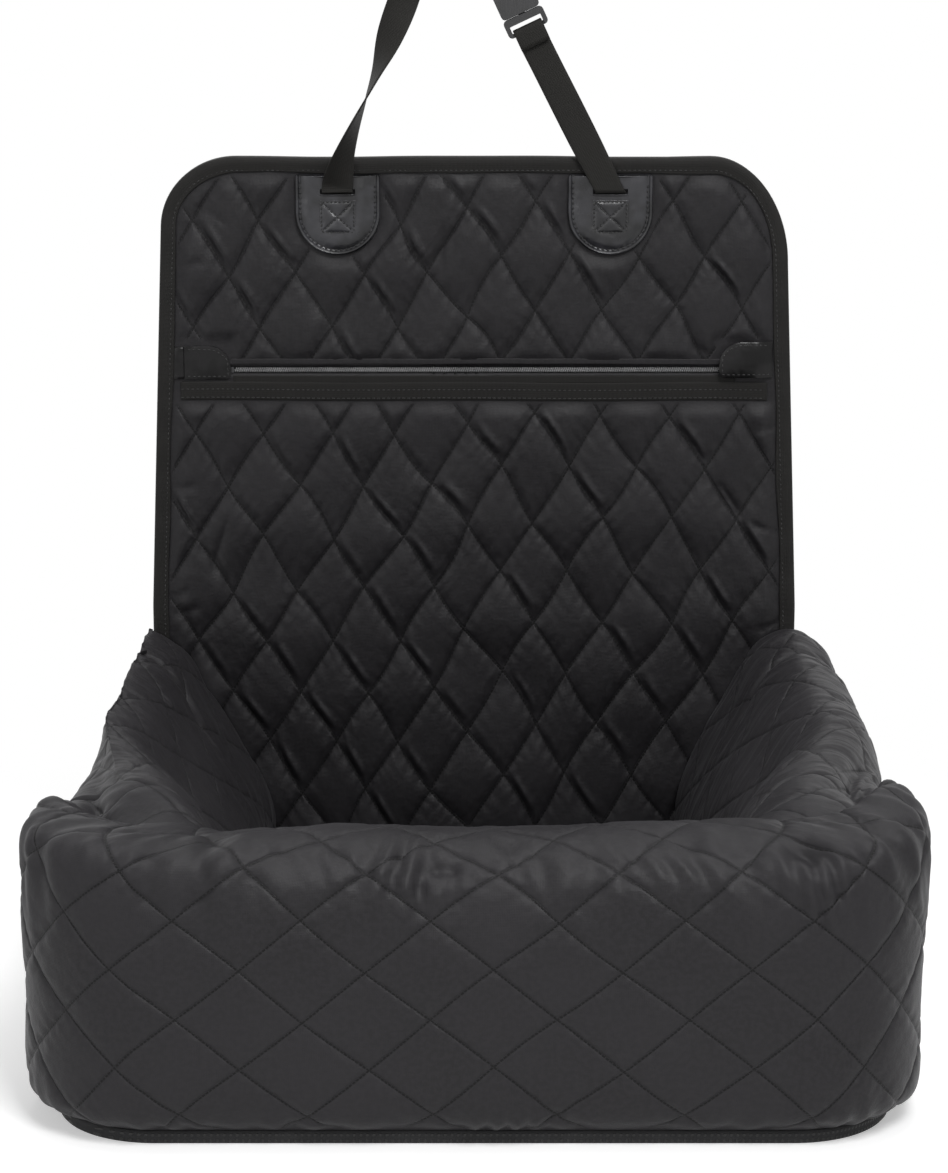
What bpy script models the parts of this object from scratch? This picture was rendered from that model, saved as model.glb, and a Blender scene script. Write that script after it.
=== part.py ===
"""Dog car seat: a quilted bed with three puffed bolsters and a tall quilted back flap that two webbing
straps hold to a headrest. Metres, +Z up, the front faces -Y, the origin is at the centre of the base."""

import math

import bmesh
import bpy
from mathutils import Matrix, Vector

# Overall size
OVERALL_WIDTH = 0.632
OVERALL_DEPTH = 0.580
PANEL_TOP_Z = 0.640
FOLD_Z = 0.262

# Clearances
TOUCH_GAP = 0.0003
CUT_OVERRUN = 0.010

# Base tray and floor
TRAY_HEIGHT = 0.010
TRAY_WALL = 0.002
TRAY_FLOOR = 0.002
TRAY_FRONT_RADIUS = 0.075
TRAY_BACK_RADIUS = 0.006
CUSHION_EDGE_HEIGHT = 0.048
CUSHION_CROWN = 0.018
CUSHION_ROUNDING_POWER = 4

# Bolsters: the bottom seam's outline in plan, and what the cover does above it
BOLSTER_BULGE = 0.020
BOLSTER_DEPTH = 0.115
FRONT_CROWN_Z = 0.222
SIDE_CROWN_Z = 0.230
SIDE_BACK_CROWN_Z = 0.246
SIDE_RISE_START_SHARE = 0.45
INNER_HALF_FRONT = 0.181
INNER_HALF_BACK = 0.165
INNER_CORNER_RADIUS = 0.030
INNER_CORNER_SWEEP = math.radians(70)
SIDE_SEAM_Y = -0.075
SIDE_LEFT_BULGE = 0.012
SIDE_RIGHT_BULGE = 0.028
COVER_THICKNESS = 0.0040
CHANNEL_DEPTH = 0.007
FILLING_CLEARANCE = 0.0014
FOOT_FADE_HEIGHT = 0.022
CORE_LOW_SHARE = 0.30
CORE_HIGH_SHARE = 0.60
CORE_LEAN_SHARE = 0.60

# Outlines of a bolster's section, from the outer seam over the crown to the inner foot.
# Across: positive is a share of the bulge, negative a share of the depth. Up: a share of the height.
FRONT_SECTION_SHARES = (
    (0.0, 0.0), (0.65, 0.25), (0.98, 0.5), (1.0, 0.66), (0.62, 0.86), (-0.08, 0.965),
    (-0.36, 1.0), (-0.68, 0.95), (-0.92, 0.80), (-1.0, 0.55), (-0.99, 0.25), (-0.97, 0.0),
)
SIDE_SECTION_SHARES = (
    (0.0, 0.0), (0.60, 0.25), (0.98, 0.48), (1.0, 0.66), (0.60, 0.88), (-0.05, 0.975),
    (-0.16, 1.0), (-0.34, 0.93), (-0.54, 0.78), (-0.76, 0.60), (-0.93, 0.36), (-0.98, 0.0),
)
SECTION_BLEND_SHARE = 0.35

# Diamond quilting
BOLSTER_DIAMOND_WIDTH = 0.088
BOLSTER_DIAMOND_HEIGHT = 0.071
BOLSTER_LATTICE_X = -0.032
QUILTED_HEIGHT = 0.284
PLAIN_ROWS = 4
PANEL_DIAMOND_WIDTH = 0.0568
PANEL_DIAMOND_HEIGHT = 0.0890
PANEL_LATTICE_X = 0.0224
PANEL_LATTICE_Z = 0.5595
PANEL_PUFF = 0.0060

# Mesh steps to a diamond: full where the quilting shows, plain where it is hidden
FULL_STEPS = 4
PLAIN_STEPS = 2
STATION_MARGIN_SHARE = 0.35
FILLING_STRIDE = 3

# Mesh steps along curves
SECTION_STEPS = 8
TRAY_FRONT_STEPS = 8
TRAY_BACK_STEPS = 3
CORNER_STEPS = 7
PATCH_STEPS = 14
TAB_STEPS = 8
STRAP_STEPS = 8
WRAP_STEPS = 6
BUCKLE_CORNER_STEPS = 3

# Back panel: how far its sides stand in from the bed's, corner sizes and the layers from front to back
PANEL_TOP_SETBACK = 0.0590
PANEL_FOLD_SETBACK = 0.0435
CORNER_LEFT_WIDTH = 0.062
CORNER_LEFT_HEIGHT = 0.058
CORNER_RIGHT_WIDTH = 0.066
CORNER_RIGHT_HEIGHT = 0.088
PANEL_THICKNESS = 0.0150
FRONT_LAYER = 0.0020
REAR_LAYER = 0.0012
LINING_LAYER = 0.0012
BOARD_LAYER = 0.0052
BINDING_WIDTH = 0.0130
BINDING_TAPE = 0.0012
FOLD_FRONT_GAP = 0.0004
FOLD_REAR_GAP = 0.0040

# Zip, band and tabs
ZIP_Z = 0.4640
ZIP_LEFT_X = -0.2000
ZIP_SLOT_HEIGHT = 0.0056
ZIP_COIL_HEIGHT = 0.0022
ZIP_COIL_THICKNESS = 0.0020
ZIP_TAPE_HEIGHT = 0.0110
ZIP_TAPE_LAYER = 0.0008
STOP_LENGTH = 0.0030
BAND_TOP_Z = 0.4545
BAND_HEIGHT = 0.0160
BAND_HALF_LENGTH = 0.2450
BAND_LAYER = 0.0012
TAB_LAYER = 0.0012
TAB_CORNER = 0.0060
LEFT_TAB_X = -0.2416
LEFT_TAB_WIDTH = 0.0390
LEFT_TAB_TOP_Z = 0.4840
LEFT_TAB_BOTTOM_Z = 0.4560
RIGHT_TAB_WIDTH = 0.0450
RIGHT_TAB_TOP_Z = 0.4880
RIGHT_TAB_BOTTOM_Z = 0.4580
RIGHT_TAB_LIFT = 0.0055
TAB_BINDING_GAP = 0.0012
SLIDER_LENGTH = 0.0100
SLIDER_HEIGHT = 0.0084
SLIDER_PLATE = 0.0012
SLIDER_NECK = 0.0022
SLIDER_INSET = 0.0080
BRIDGE_GAP = 0.0017
BRIDGE_BAR = 0.0009
BRIDGE_HEIGHT = 0.0030
BRIDGE_LENGTH = 0.0066
PULL_LENGTH = 0.0200
PULL_HEIGHT = 0.0068
PULL_THICKNESS = 0.0009
PULL_EYE_LENGTH = 0.0046
POCKET_HALF = 0.2100
POCKET_BOTTOM_Z = 0.3000
TAPE_SET_BACK = 0.0028
TAB_TRIM_SHARE = 0.6
TAB_RISE_SHARE = 0.35

# Strap patches and straps
PATCH_X = 0.1125
PATCH_WIDTH = 0.0700
PATCH_DROP = 0.0800
PATCH_THICKNESS = 0.0034
PATCH_RIM_WIDTH = 0.0062
PATCH_RIM_HEIGHT = 0.0008
SLOT_DROP = 0.0275
SLOT_WIDTH = 0.0290
SLOT_HEIGHT = 0.0040
WEBBING_WIDTH = 0.0250
WEBBING_THICKNESS = 0.0015
ROOT_LENGTH = 0.0320
RUNNING_GAP = 0.0009
STRAP_PATCH_GAP = 0.0009

# Buckle, in its own frame: X across, Z along, the male half's webbing bar at zero
BUCKLE_X = 0.0446
BUCKLE_RISE = 0.1045
BUCKLE_LEAN = math.radians(25)
BAR_WIDTH = 0.0034
BAR_THICKNESS = 0.0024
MALE_HALF_WIDTH = 0.0174
MALE_WINDOW_HALF = 0.0136
MALE_WINDOW_LENGTH = 0.0058
MALE_BODY_LENGTH = 0.0155
MALE_BODY_THICKNESS = 0.0070
GUIDE_HALF_WIDTH = 0.0026
GUIDE_LENGTH = 0.0200
ARM_THICKNESS = 0.0050
ARM_INNER_X = 0.0068
ARM_WIDTH = 0.0030
ARM_BUMP = 0.0054
ARM_LENGTH = 0.0215
FEMALE_HALF_WIDTH = 0.0166
FEMALE_THICKNESS = 0.0094
FEMALE_WALL = 0.0018
FEMALE_CAVITY_LENGTH = 0.0245
FEMALE_WEB = 0.0030
FEMALE_WINDOW_LENGTH = 0.0058
SIDE_WINDOW_LENGTH = 0.0150
SIDE_WINDOW_START = 0.0050
BUCKLE_TAIL = 0.0140
BUCKLE_EDGE_BEVEL = 0.0006
BUCKLE_SHARP_ANGLE = math.radians(50)
WRAP_EASE = 0.0016

# The left strap's route, hand-chosen from its slot to the loop over the headrest. Each point is X, the
# height above the slot, how far it stands forward of the strap plane, and the webbing's turn in half turns.
LEFT_ROUTE = (
    (-0.1125, 0.0000, 0.0000, 0.00), (-0.1125, 0.0045, 0.0000, 0.00), (-0.1105, 0.0145, 0.0052, 0.12),
    (-0.1062, 0.0305, 0.0108, 0.27), (-0.0985, 0.0515, 0.0122, 0.39), (-0.0885, 0.0755, 0.0095, 0.50),
    (-0.0785, 0.0995, 0.0055, 0.62), (-0.0680, 0.1275, 0.0020, 0.84), (-0.0575, 0.1545, 0.0000, 1.00),
    (-0.0480, 0.1825, 0.0000, 1.10), (-0.0405, 0.2115, 0.0000, 1.36), (-0.0365, 0.2395, 0.0000, 1.50),
    (-0.0330, 0.2575, 0.0000, 1.50), (-0.0215, 0.2725, 0.0000, 1.50), (-0.0070, 0.2780, 0.0000, 1.50),
    (0.0070, 0.2725, 0.0000, 1.50), (0.0160, 0.2585, 0.0000, 1.50), (0.0188, 0.2405, 0.0000, 1.60),
)
LEFT_ROUTE_STEPS = 3

COLOURS = {
    "cover": ((0.036, 0.033, 0.037), 0.62, 0.0),
    "binding": ((0.020, 0.019, 0.018), 0.70, 0.0),
    "webbing": ((0.022, 0.021, 0.019), 0.68, 0.0),
    "underside": ((0.028, 0.027, 0.028), 0.85, 0.0),
    "foam": ((0.80, 0.79, 0.74), 0.95, 0.0),
    "filling": ((0.88, 0.88, 0.86), 1.0, 0.0),
    "board": ((0.30, 0.29, 0.27), 0.85, 0.0),
    "patch": ((0.058, 0.058, 0.062), 0.38, 0.0),
    "zip_coil": ((0.030, 0.029, 0.030), 0.45, 0.0),
    "zip_metal": ((0.060, 0.060, 0.062), 0.32, 0.9),
    "buckle": ((0.026, 0.026, 0.027), 0.34, 0.0),
}

# Worked out from the sizes above
PANEL_HALF_TOP = OVERALL_WIDTH / 2 - PANEL_TOP_SETBACK
PANEL_HALF_FOLD = OVERALL_WIDTH / 2 - PANEL_FOLD_SETBACK
PATCH_BOTTOM_Z = PANEL_TOP_Z - PATCH_DROP
SLOT_Z = PANEL_TOP_Z - SLOT_DROP
BUCKLE_Z = PANEL_TOP_Z + BUCKLE_RISE
BACK_Y = OVERALL_DEPTH / 2
FACE_Y = BACK_Y - PANEL_THICKNESS
SEAM_FRONT_Y = BOLSTER_BULGE - OVERALL_DEPTH / 2
SEAM_HALF_FRONT = OVERALL_WIDTH / 2 - BOLSTER_BULGE
SEAM_HALF_BACK = PANEL_HALF_FOLD
BED_FLOOR_Z = TRAY_HEIGHT + TOUCH_GAP
BED_BACK_Y = FACE_Y - PANEL_PUFF - TOUCH_GAP
TAPE_FRONT_Y = FACE_Y - TOUCH_GAP - BINDING_TAPE
LINING_Y = BACK_Y - BINDING_TAPE - REAR_LAYER - BOARD_LAYER - LINING_LAYER - 3 * TOUCH_GAP
BOARD_Y = LINING_Y + LINING_LAYER + TOUCH_GAP
REAR_Y = BOARD_Y + BOARD_LAYER + TOUCH_GAP
STRAP_Y = FACE_Y - TOUCH_GAP - PATCH_THICKNESS - PATCH_RIM_HEIGHT - STRAP_PATCH_GAP - WEBBING_THICKNESS / 2
RIGHT_TAB_X = (
    PANEL_HALF_TOP
    + (PANEL_HALF_FOLD - PANEL_HALF_TOP) * (PANEL_TOP_Z - RIGHT_TAB_TOP_Z) / (PANEL_TOP_Z - FOLD_Z)
    - BINDING_WIDTH
    - TAB_BINDING_GAP
)
SLIDER_X = RIGHT_TAB_X - RIGHT_TAB_WIDTH + SLIDER_INSET
ZIP_RIGHT_X = SLIDER_X - SLIDER_LENGTH / 2 + SLIDER_LENGTH - SLIDER_NECK - TOUCH_GAP
LEFT_TAB_FREE_X = LEFT_TAB_X + LEFT_TAB_WIDTH

pivots = {}


def clear_scene():
    for old in list(bpy.data.objects):
        bpy.data.objects.remove(old, do_unlink=True)


def material(slot):
    found = bpy.data.materials.get(slot)
    if found:
        return found
    colour, roughness, metallic = COLOURS[slot]
    made = bpy.data.materials.new(slot)
    made.use_nodes = True
    shader = made.node_tree.nodes["Principled BSDF"]
    shader.inputs["Base Color"].default_value = (*colour, 1.0)
    shader.inputs["Roughness"].default_value = roughness
    shader.inputs["Metallic"].default_value = metallic
    return made


def pivot(name, location, parent=None):
    """An empty on a joint's axis, which carries the pieces that turn or slide there."""
    empty = bpy.data.objects.new(name, None)
    bpy.context.scene.collection.objects.link(empty)
    empty.location = location
    if parent:
        empty.parent = parent
        empty.matrix_parent_inverse = Matrix.Translation(-pivots[parent.name])
    pivots[name] = Vector(location)
    return empty


def add_object(name, mesh, slot, carrier=None):
    obj = bpy.data.objects.new(name, mesh)
    bpy.context.scene.collection.objects.link(obj)
    if slot:
        mesh.materials.append(material(slot))
    if carrier:
        obj.parent = carrier
        obj.matrix_parent_inverse = Matrix.Translation(-pivots[carrier.name])
    return obj


def mesh_of(name, points, faces, smooth=False):
    shape = bmesh.new()
    corners = [shape.verts.new(point) for point in points]
    for face in faces:
        shape.faces.new([corners[index] for index in face])
    bmesh.ops.recalc_face_normals(shape, faces=shape.faces)
    mesh = bpy.data.meshes.new(name)
    shape.to_mesh(mesh)
    shape.free()
    if smooth:
        mesh.shade_smooth()
    return mesh


def loft(name, rings, slot, carrier=None, smooth=False, split=False):
    """A closed solid through rings of as many points each, capped at both ends, its quads split if asked."""
    count = len(rings[0])
    points = [point for ring in rings for point in ring]
    faces = [list(range(count)), list(range(len(points) - count, len(points)))]
    for ring in range(len(rings) - 1):
        for index in range(count):
            following = (index + 1) % count
            base = ring * count
            above = base + count
            quad = (base + index, base + following, above + following, above + index)
            faces += [quad[:3], (quad[0], *quad[2:])] if split else [quad]
    return add_object(name, mesh_of(name, points, faces, smooth), slot, carrier)


def prism_y(name, outline, front, back, slot, carrier=None):
    """A plate: an outline of X, Z points between two Y planes."""
    rings = [[(x, y, z) for x, z in outline] for y in (front, back)]
    return loft(name, rings, slot, carrier)


def prism_z(name, outline, low, high, slot, carrier=None):
    rings = [[(x, y, z) for x, y in outline] for z in (low, high)]
    return loft(name, rings, slot, carrier)


def box(name, low, high, slot, carrier=None):
    outline = ((low[0], low[1]), (high[0], low[1]), (high[0], high[1]), (low[0], high[1]))
    return prism_z(name, outline, low[2], high[2], slot, carrier)


def as_helper(obj):
    obj.hide_render = True
    obj.display_type = "WIRE"
    return obj


def combine(obj, other, operation="DIFFERENCE"):
    as_helper(other)
    modifier = obj.modifiers.new(other.name, "BOOLEAN")
    modifier.operation = operation
    modifier.object = other
    return obj


def inset(outline, distance):
    """A closed outline, each corner moved inwards by the distance from both its sides."""
    area = sum(a[0] * b[1] - b[0] * a[1] for a, b in zip(outline, outline[1:] + outline[:1]))
    turn = 1 if area > 0 else -1
    moved = []
    for index, corner in enumerate(outline):
        before = Vector(corner) - Vector(outline[index - 1])
        after = Vector(outline[(index + 1) % len(outline)]) - Vector(corner)
        first = Vector((-before.y, before.x)).normalized() * turn
        second = Vector((-after.y, after.x)).normalized() * turn
        middle = (first + second).normalized()
        reach = distance / max(middle.dot(first), math.cos(math.pi / 3))
        moved.append(tuple(Vector(corner) + middle * reach))
    return moved


def arc(centre, radius_x, radius_y, start, end, steps):
    """Points on an elliptical arc, both ends included."""
    angles = [start + (end - start) * step / steps for step in range(steps + 1)]
    return [(centre[0] + radius_x * math.cos(a), centre[1] + radius_y * math.sin(a)) for a in angles]


def rounded_box(half_width, low, high, radius, steps):
    """An outline with four round corners, centred on zero across."""
    quarter = math.pi / 2
    right, left = half_width - radius, radius - half_width
    return (
        arc((right, low + radius), radius, radius, -quarter, 0, steps)
        + arc((right, high - radius), radius, radius, 0, quarter, steps)
        + arc((left, high - radius), radius, radius, quarter, 2 * quarter, steps)
        + arc((left, low + radius), radius, radius, 2 * quarter, 3 * quarter, steps)
    )


def smooth_step(value):
    value = min(max(value, 0), 1)
    return value * value * (3 - 2 * value)


def curve_through(points, steps):
    """A smooth Catmull-Rom line through points of any dimension, with the ends kept."""
    padded = [points[0], *points, points[-1]]
    line = []
    for index in range(1, len(padded) - 2):
        before, start, end, after = (padded[index + offset] for offset in (-1, 0, 1, 2))
        for step in range(steps):
            t = step / steps
            weights = (
                (-t + 2 * t * t - t**3) / 2,
                (2 - 5 * t * t + 3 * t**3) / 2,
                (t + 4 * t * t - 3 * t**3) / 2,
                (t**3 - t * t) / 2,
            )
            near = (before, start, end, after)
            line.append(tuple(sum(w * p[axis] for w, p in zip(weights, near)) for axis in range(len(start))))
    return [*line, tuple(points[-1])]


def pillow(u, v):
    """Height of a diamond's puff: zero on the stitch lines u + v and u - v whole, one at its middle."""
    return math.sqrt(abs(math.sin(math.pi * (u + v)) * math.sin(math.pi * (u - v))))


def quilt_faces(columns, rows, first_column, first_row):
    """Triangles of a grid whose edges run along the stitch lines."""
    faces = []
    for column in range(columns - 1):
        for row in range(rows - 1):
            a = column * rows + row
            b, c, d = a + rows, a + rows + 1, a + 1
            if (column + first_column + row + first_row) % 2 == 0:
                faces += [(a, b, c), (a, c, d)]
            else:
                faces += [(a, b, d), (b, c, d)]
    return faces


# Bolsters
def side_seam_x(y):
    """Half width of the bottom seam along the side, which narrows towards the back panel."""
    start = SEAM_FRONT_Y + TRAY_FRONT_RADIUS
    share = max(0, y - start) / (FACE_Y - start)
    return SEAM_HALF_FRONT + (SEAM_HALF_BACK - SEAM_HALF_FRONT) * share


def front_rails(distance):
    """Seam point and inner foot point at a signed distance along the front bolster from its middle."""
    sign = -1 if distance < 0 else 1
    distance = abs(distance)
    radius = TRAY_FRONT_RADIUS
    straight = SEAM_HALF_FRONT - radius
    swell = radius + BOLSTER_BULGE
    bend = swell * math.pi / 2
    inner_straight = INNER_HALF_FRONT - INNER_CORNER_RADIUS
    inner_y = SEAM_FRONT_Y + BOLSTER_DEPTH
    if distance <= straight:
        outer = Vector((distance, SEAM_FRONT_Y))
        inner = Vector((distance * inner_straight / straight, inner_y))
        return mirrored(outer, inner, sign)
    share = (distance - straight) / (front_half_length() - straight)
    turn = INNER_CORNER_SWEEP * share - math.pi / 2
    centre = Vector((inner_straight, inner_y + INNER_CORNER_RADIUS))
    inner = centre + INNER_CORNER_RADIUS * Vector((math.cos(turn), math.sin(turn)))
    if distance <= straight + bend:
        angle = (distance - straight) / swell - math.pi / 2
        corner = Vector((straight, SEAM_FRONT_Y + radius))
        outer = corner + radius * Vector((math.cos(angle), math.sin(angle)))
    else:
        y = SEAM_FRONT_Y + radius + distance - straight - bend
        outer = Vector((side_seam_x(y), y))
    return mirrored(outer, inner, sign)


def mirrored(outer, inner, sign):
    return Vector((sign * outer.x, outer.y)), Vector((sign * inner.x, inner.y))


def front_half_length():
    radius = TRAY_FRONT_RADIUS
    bend = (radius + BOLSTER_BULGE) * math.pi / 2
    return SEAM_HALF_FRONT - radius + bend + SIDE_SEAM_Y - SEAM_FRONT_Y - radius


def side_rails(distance, sign):
    """The same for a side bolster, whose distance runs from its seam with the front one to the back."""
    end_outer, end_inner = front_rails(front_half_length())
    length = side_length()
    share = distance / length
    outer_y = SIDE_SEAM_Y + TOUCH_GAP * 2 + (BED_BACK_Y - SIDE_SEAM_Y - TOUCH_GAP * 2) * share
    inner_y = end_inner.y + TOUCH_GAP * 2 + (BED_BACK_Y - end_inner.y - TOUCH_GAP * 2) * share
    inner_x = end_inner.x + (INNER_HALF_BACK - end_inner.x) * share
    return mirrored(Vector((side_seam_x(outer_y), outer_y)), Vector((inner_x, inner_y)), sign)


def side_length():
    return BED_BACK_Y - SIDE_SEAM_Y


def section_line(shares, bulge, depth, height):
    """Points (across, up) of a section, from the outer seam over the crown to the inner foot."""
    corners = [((bulge if a > 0 else depth) * a, height * up) for a, up in shares]
    return curve_through(corners, SECTION_STEPS)


def rows_along(line):
    """Lengths along a section where the cover's rows lie: quilted steps, then plain ones to the foot."""
    lengths = [0]
    for before, after in zip(line, line[1:]):
        lengths.append(lengths[-1] + math.dist(before, after))
    step = BOLSTER_DIAMOND_HEIGHT / FULL_STEPS
    quilted = [step * index for index in range(round(QUILTED_HEIGHT / step) + 1)]
    left = lengths[-1] - quilted[-1]
    plain = [quilted[-1] + left * (index + 1) / PLAIN_ROWS for index in range(PLAIN_ROWS)]
    return lengths, quilted + plain


def point_at(line, lengths, wanted):
    """The point at a length along a line, and its outward normal."""
    index = 1
    while index < len(lengths) - 1 and lengths[index] < wanted:
        index += 1
    share = (wanted - lengths[index - 1]) / (lengths[index] - lengths[index - 1])
    start, end = Vector(line[index - 1]), Vector(line[index])
    along = (end - start).normalized()
    return start + (end - start) * share, Vector((along.y, -along.x))


def place_section(rails, across, up):
    outer, inner = rails
    sideways = outer - inner
    plan = outer + sideways * across / BOLSTER_DEPTH
    return (plan.x, plan.y, BED_FLOOR_Z + up)


def cover_ring(rails, line, lattice_u):
    """One station's ring of a cover, whose quilting channels sink between the puffs."""
    lengths, rows = rows_along(line)
    ring = []
    for length in rows:
        point, normal = point_at(line, lengths, length)
        fade = smooth_step(min(length, lengths[-1] - length) / FOOT_FADE_HEIGHT)
        puff = pillow(lattice_u, length / BOLSTER_DIAMOND_HEIGHT)
        moved = point - normal * CHANNEL_DEPTH * (1 - puff) * fade
        ring.append(place_section(rails, moved.x, max(moved.y, 0)))
    return ring


def drawn_in_ring(rails, line, depth, drop):
    """A plainer ring, drawn in towards the section's upright core by a depth, its foot lowered by a drop."""
    lengths, rows = rows_along(line)
    across = [point[0] for point in line]
    middle = (max(across) + min(across)) / 2
    height = max(point[1] for point in line)
    kept = [*rows[:-1:FILLING_STRIDE], rows[-1]]
    ring = []
    for length in kept[1:-1]:
        point, normal = point_at(line, lengths, length)
        core = Vector((middle, min(max(point.y, CORE_LOW_SHARE * height), CORE_HIGH_SHARE * height)))
        inward = (core - point).normalized()
        moved = point + inward * depth / max(-inward.dot(normal), CORE_LEAN_SHARE)
        ring.append(place_section(rails, moved.x, moved.y))
    outer_foot = place_section(rails, line[0][0] - depth, -drop)
    return [outer_foot, *ring, place_section(rails, line[-1][0] + depth, -drop)]


def stations_between(start, end, step, origin):
    """Lattice columns between two ends, the ends included, with the first column's number."""
    first = math.ceil((start - origin) / step + STATION_MARGIN_SHARE)
    last = math.floor((end - origin) / step - STATION_MARGIN_SHARE)
    inner = [origin + step * number for number in range(first, last + 1)]
    return [start, *inner, end], first - 1


def build_bolster(name, stations, first, ring_at, filling_name):
    """A quilted cover open along its base, cut hollow for a filling that fills it."""
    rings = [cover_ring(*ring_at(station)) for station in stations]
    rows = len(rings[0])
    points = [point for ring in rings for point in ring]
    faces = quilt_faces(len(rings), rows, first, 0)
    last = (len(rings) - 1) * rows
    faces += [list(range(rows)), list(range(last, last + rows))]
    for column in range(len(rings) - 1):
        a = column * rows
        faces.append((a, a + rows, a + 2 * rows - 1, a + rows - 1))
    cover = add_object(name, mesh_of(name, points, faces, True), "cover")
    inner = [stations[2], *stations[4:-4:2], stations[-3]]
    depth = CHANNEL_DEPTH + COVER_THICKNESS
    plain = [ring_at(station)[:2] for station in inner]
    filled = [drawn_in_ring(*at, depth + FILLING_CLEARANCE, 0) for at in plain]
    hollow = [drawn_in_ring(*at, depth, CUT_OVERRUN) for at in plain]
    hollow = [pushed(hollow[0], hollow[1]), *hollow[1:-1], pushed(hollow[-1], hollow[-2])]
    loft(filling_name, filled, "filling", smooth=True, split=True)
    combine(cover, loft(name + "_cavity", hollow, None, split=True))


def pushed(ring, neighbour):
    """A cutter's end ring, moved outwards by the filling's clearance."""
    moved = []
    for point, other in zip(ring, neighbour):
        along = (Vector(point) - Vector(other)).normalized()
        moved.append(tuple(Vector(point) + along * FILLING_CLEARANCE))
    return moved


def build_front_bolster():
    half = front_half_length()
    step = BOLSTER_DIAMOND_WIDTH / FULL_STEPS
    stations, first = stations_between(-half, half, step, BOLSTER_LATTICE_X)
    line = section_line(FRONT_SECTION_SHARES, BOLSTER_BULGE, BOLSTER_DEPTH, FRONT_CROWN_Z - BED_FLOOR_Z)

    def ring_at(station):
        return front_rails(station), line, (station - BOLSTER_LATTICE_X) / BOLSTER_DIAMOND_WIDTH

    build_bolster("front_bolster_cover", stations, first, ring_at, "front_bolster_filling")


def blended_shares(share):
    mix = smooth_step(share / SECTION_BLEND_SHARE)
    pairs = zip(FRONT_SECTION_SHARES, SIDE_SECTION_SHARES)
    return [(a[0] + (b[0] - a[0]) * mix, a[1] + (b[1] - a[1]) * mix) for a, b in pairs]


def build_side_bolster(side, sign, bulge):
    length = side_length()
    step = BOLSTER_DIAMOND_WIDTH / FULL_STEPS
    stations, first = stations_between(0, length, step, step / 2)

    def ring_at(station):
        share = station / length
        mix = smooth_step(share / SECTION_BLEND_SHARE)
        rise = smooth_step((share - SIDE_RISE_START_SHARE) / (1 - SIDE_RISE_START_SHARE))
        crown = FRONT_CROWN_Z + (SIDE_CROWN_Z - FRONT_CROWN_Z) * mix
        crown += (SIDE_BACK_CROWN_Z - SIDE_CROWN_Z) * rise
        swell = BOLSTER_BULGE + (bulge - BOLSTER_BULGE) * mix
        line = section_line(blended_shares(share), swell, BOLSTER_DEPTH, crown - BED_FLOOR_Z)
        return side_rails(station, sign), line, (station - step / 2) / BOLSTER_DIAMOND_WIDTH

    build_bolster(side + "_bolster_cover", stations, first, ring_at, side + "_bolster_filling")


# Base
def tray_outline():
    quarter = math.pi / 2
    front, back = TRAY_FRONT_RADIUS, TRAY_BACK_RADIUS
    right = SEAM_HALF_FRONT - front
    back_y = TAPE_FRONT_Y - TOUCH_GAP
    half = arc((right, SEAM_FRONT_Y + front), front, front, -quarter, 0, TRAY_FRONT_STEPS)
    half += arc((SEAM_HALF_BACK - back, back_y - back), back, back, 0, quarter, TRAY_BACK_STEPS)
    return half + [(-x, y) for x, y in reversed(half)]


def build_tray():
    outline = tray_outline()
    inner = inset(outline, TRAY_WALL)
    levels = ((outline, 0), (outline, TRAY_HEIGHT), (inner, TRAY_HEIGHT), (inner, TRAY_FLOOR))
    loft("anti_slip_base_tray", [[(x, y, z) for x, y in ring] for ring, z in levels], "underside")
    foam = inset(outline, TRAY_WALL + TOUCH_GAP)
    prism_z("floor_foam", foam, TRAY_FLOOR + TOUCH_GAP, TRAY_HEIGHT, "foam")


def build_floor_cushion():
    """A crowned pad between the bolsters, its top quilted in diamonds and its sides drawn in."""
    half = INNER_HALF_BACK - 3 * TOUCH_GAP
    front = SEAM_FRONT_Y + BOLSTER_DEPTH + 3 * TOUCH_GAP
    back = BED_BACK_Y
    columns, first_column = stations_between(-half, half, BOLSTER_DIAMOND_WIDTH / PLAIN_STEPS, 0)
    rows, first_row = stations_between(front, back, BOLSTER_DIAMOND_HEIGHT / PLAIN_STEPS, 0)
    points = []
    for x in columns:
        for y in rows:
            across = 1 - (x / half) ** CUSHION_ROUNDING_POWER
            along = 1 - (2 * (y - front) / (back - front) - 1) ** CUSHION_ROUNDING_POWER
            puff = pillow(x / BOLSTER_DIAMOND_WIDTH, y / BOLSTER_DIAMOND_HEIGHT)
            rise = CUSHION_CROWN * math.sqrt(max(across * along, 0))
            sink = CHANNEL_DEPTH * (1 - puff) * min(1, 2 * across * along)
            points.append((x, y, BED_FLOOR_Z + CUSHION_EDGE_HEIGHT + rise - sink))
    faces = quilt_faces(len(columns), len(rows), first_column, first_row)
    faces += skirt(points, len(columns), len(rows), lambda point: (point[0], point[1], BED_FLOOR_Z))
    add_object("floor_cushion", mesh_of("floor_cushion", points, faces, True), "cover")


def skirt(points, columns, rows, lowered):
    """Side walls and a flat underside below a grid's border, added to its points."""
    border = [index * rows for index in range(columns)]
    border += [(columns - 1) * rows + index for index in range(1, rows)]
    border += [index * rows + rows - 1 for index in range(columns - 2, -1, -1)]
    border += list(range(rows - 2, 0, -1))
    start = len(points)
    points += [lowered(points[index]) for index in border]
    count = len(border)
    faces = [list(range(start, start + count))]
    for index in range(count):
        following = (index + 1) % count
        faces.append((border[index], border[following], start + following, start + index))
    return faces


# Back panel
def panel_half(z):
    share = min(max((z - FOLD_Z) / (PANEL_TOP_Z - FOLD_Z), 0), 1)
    return PANEL_HALF_FOLD + (PANEL_HALF_TOP - PANEL_HALF_FOLD) * share


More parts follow.
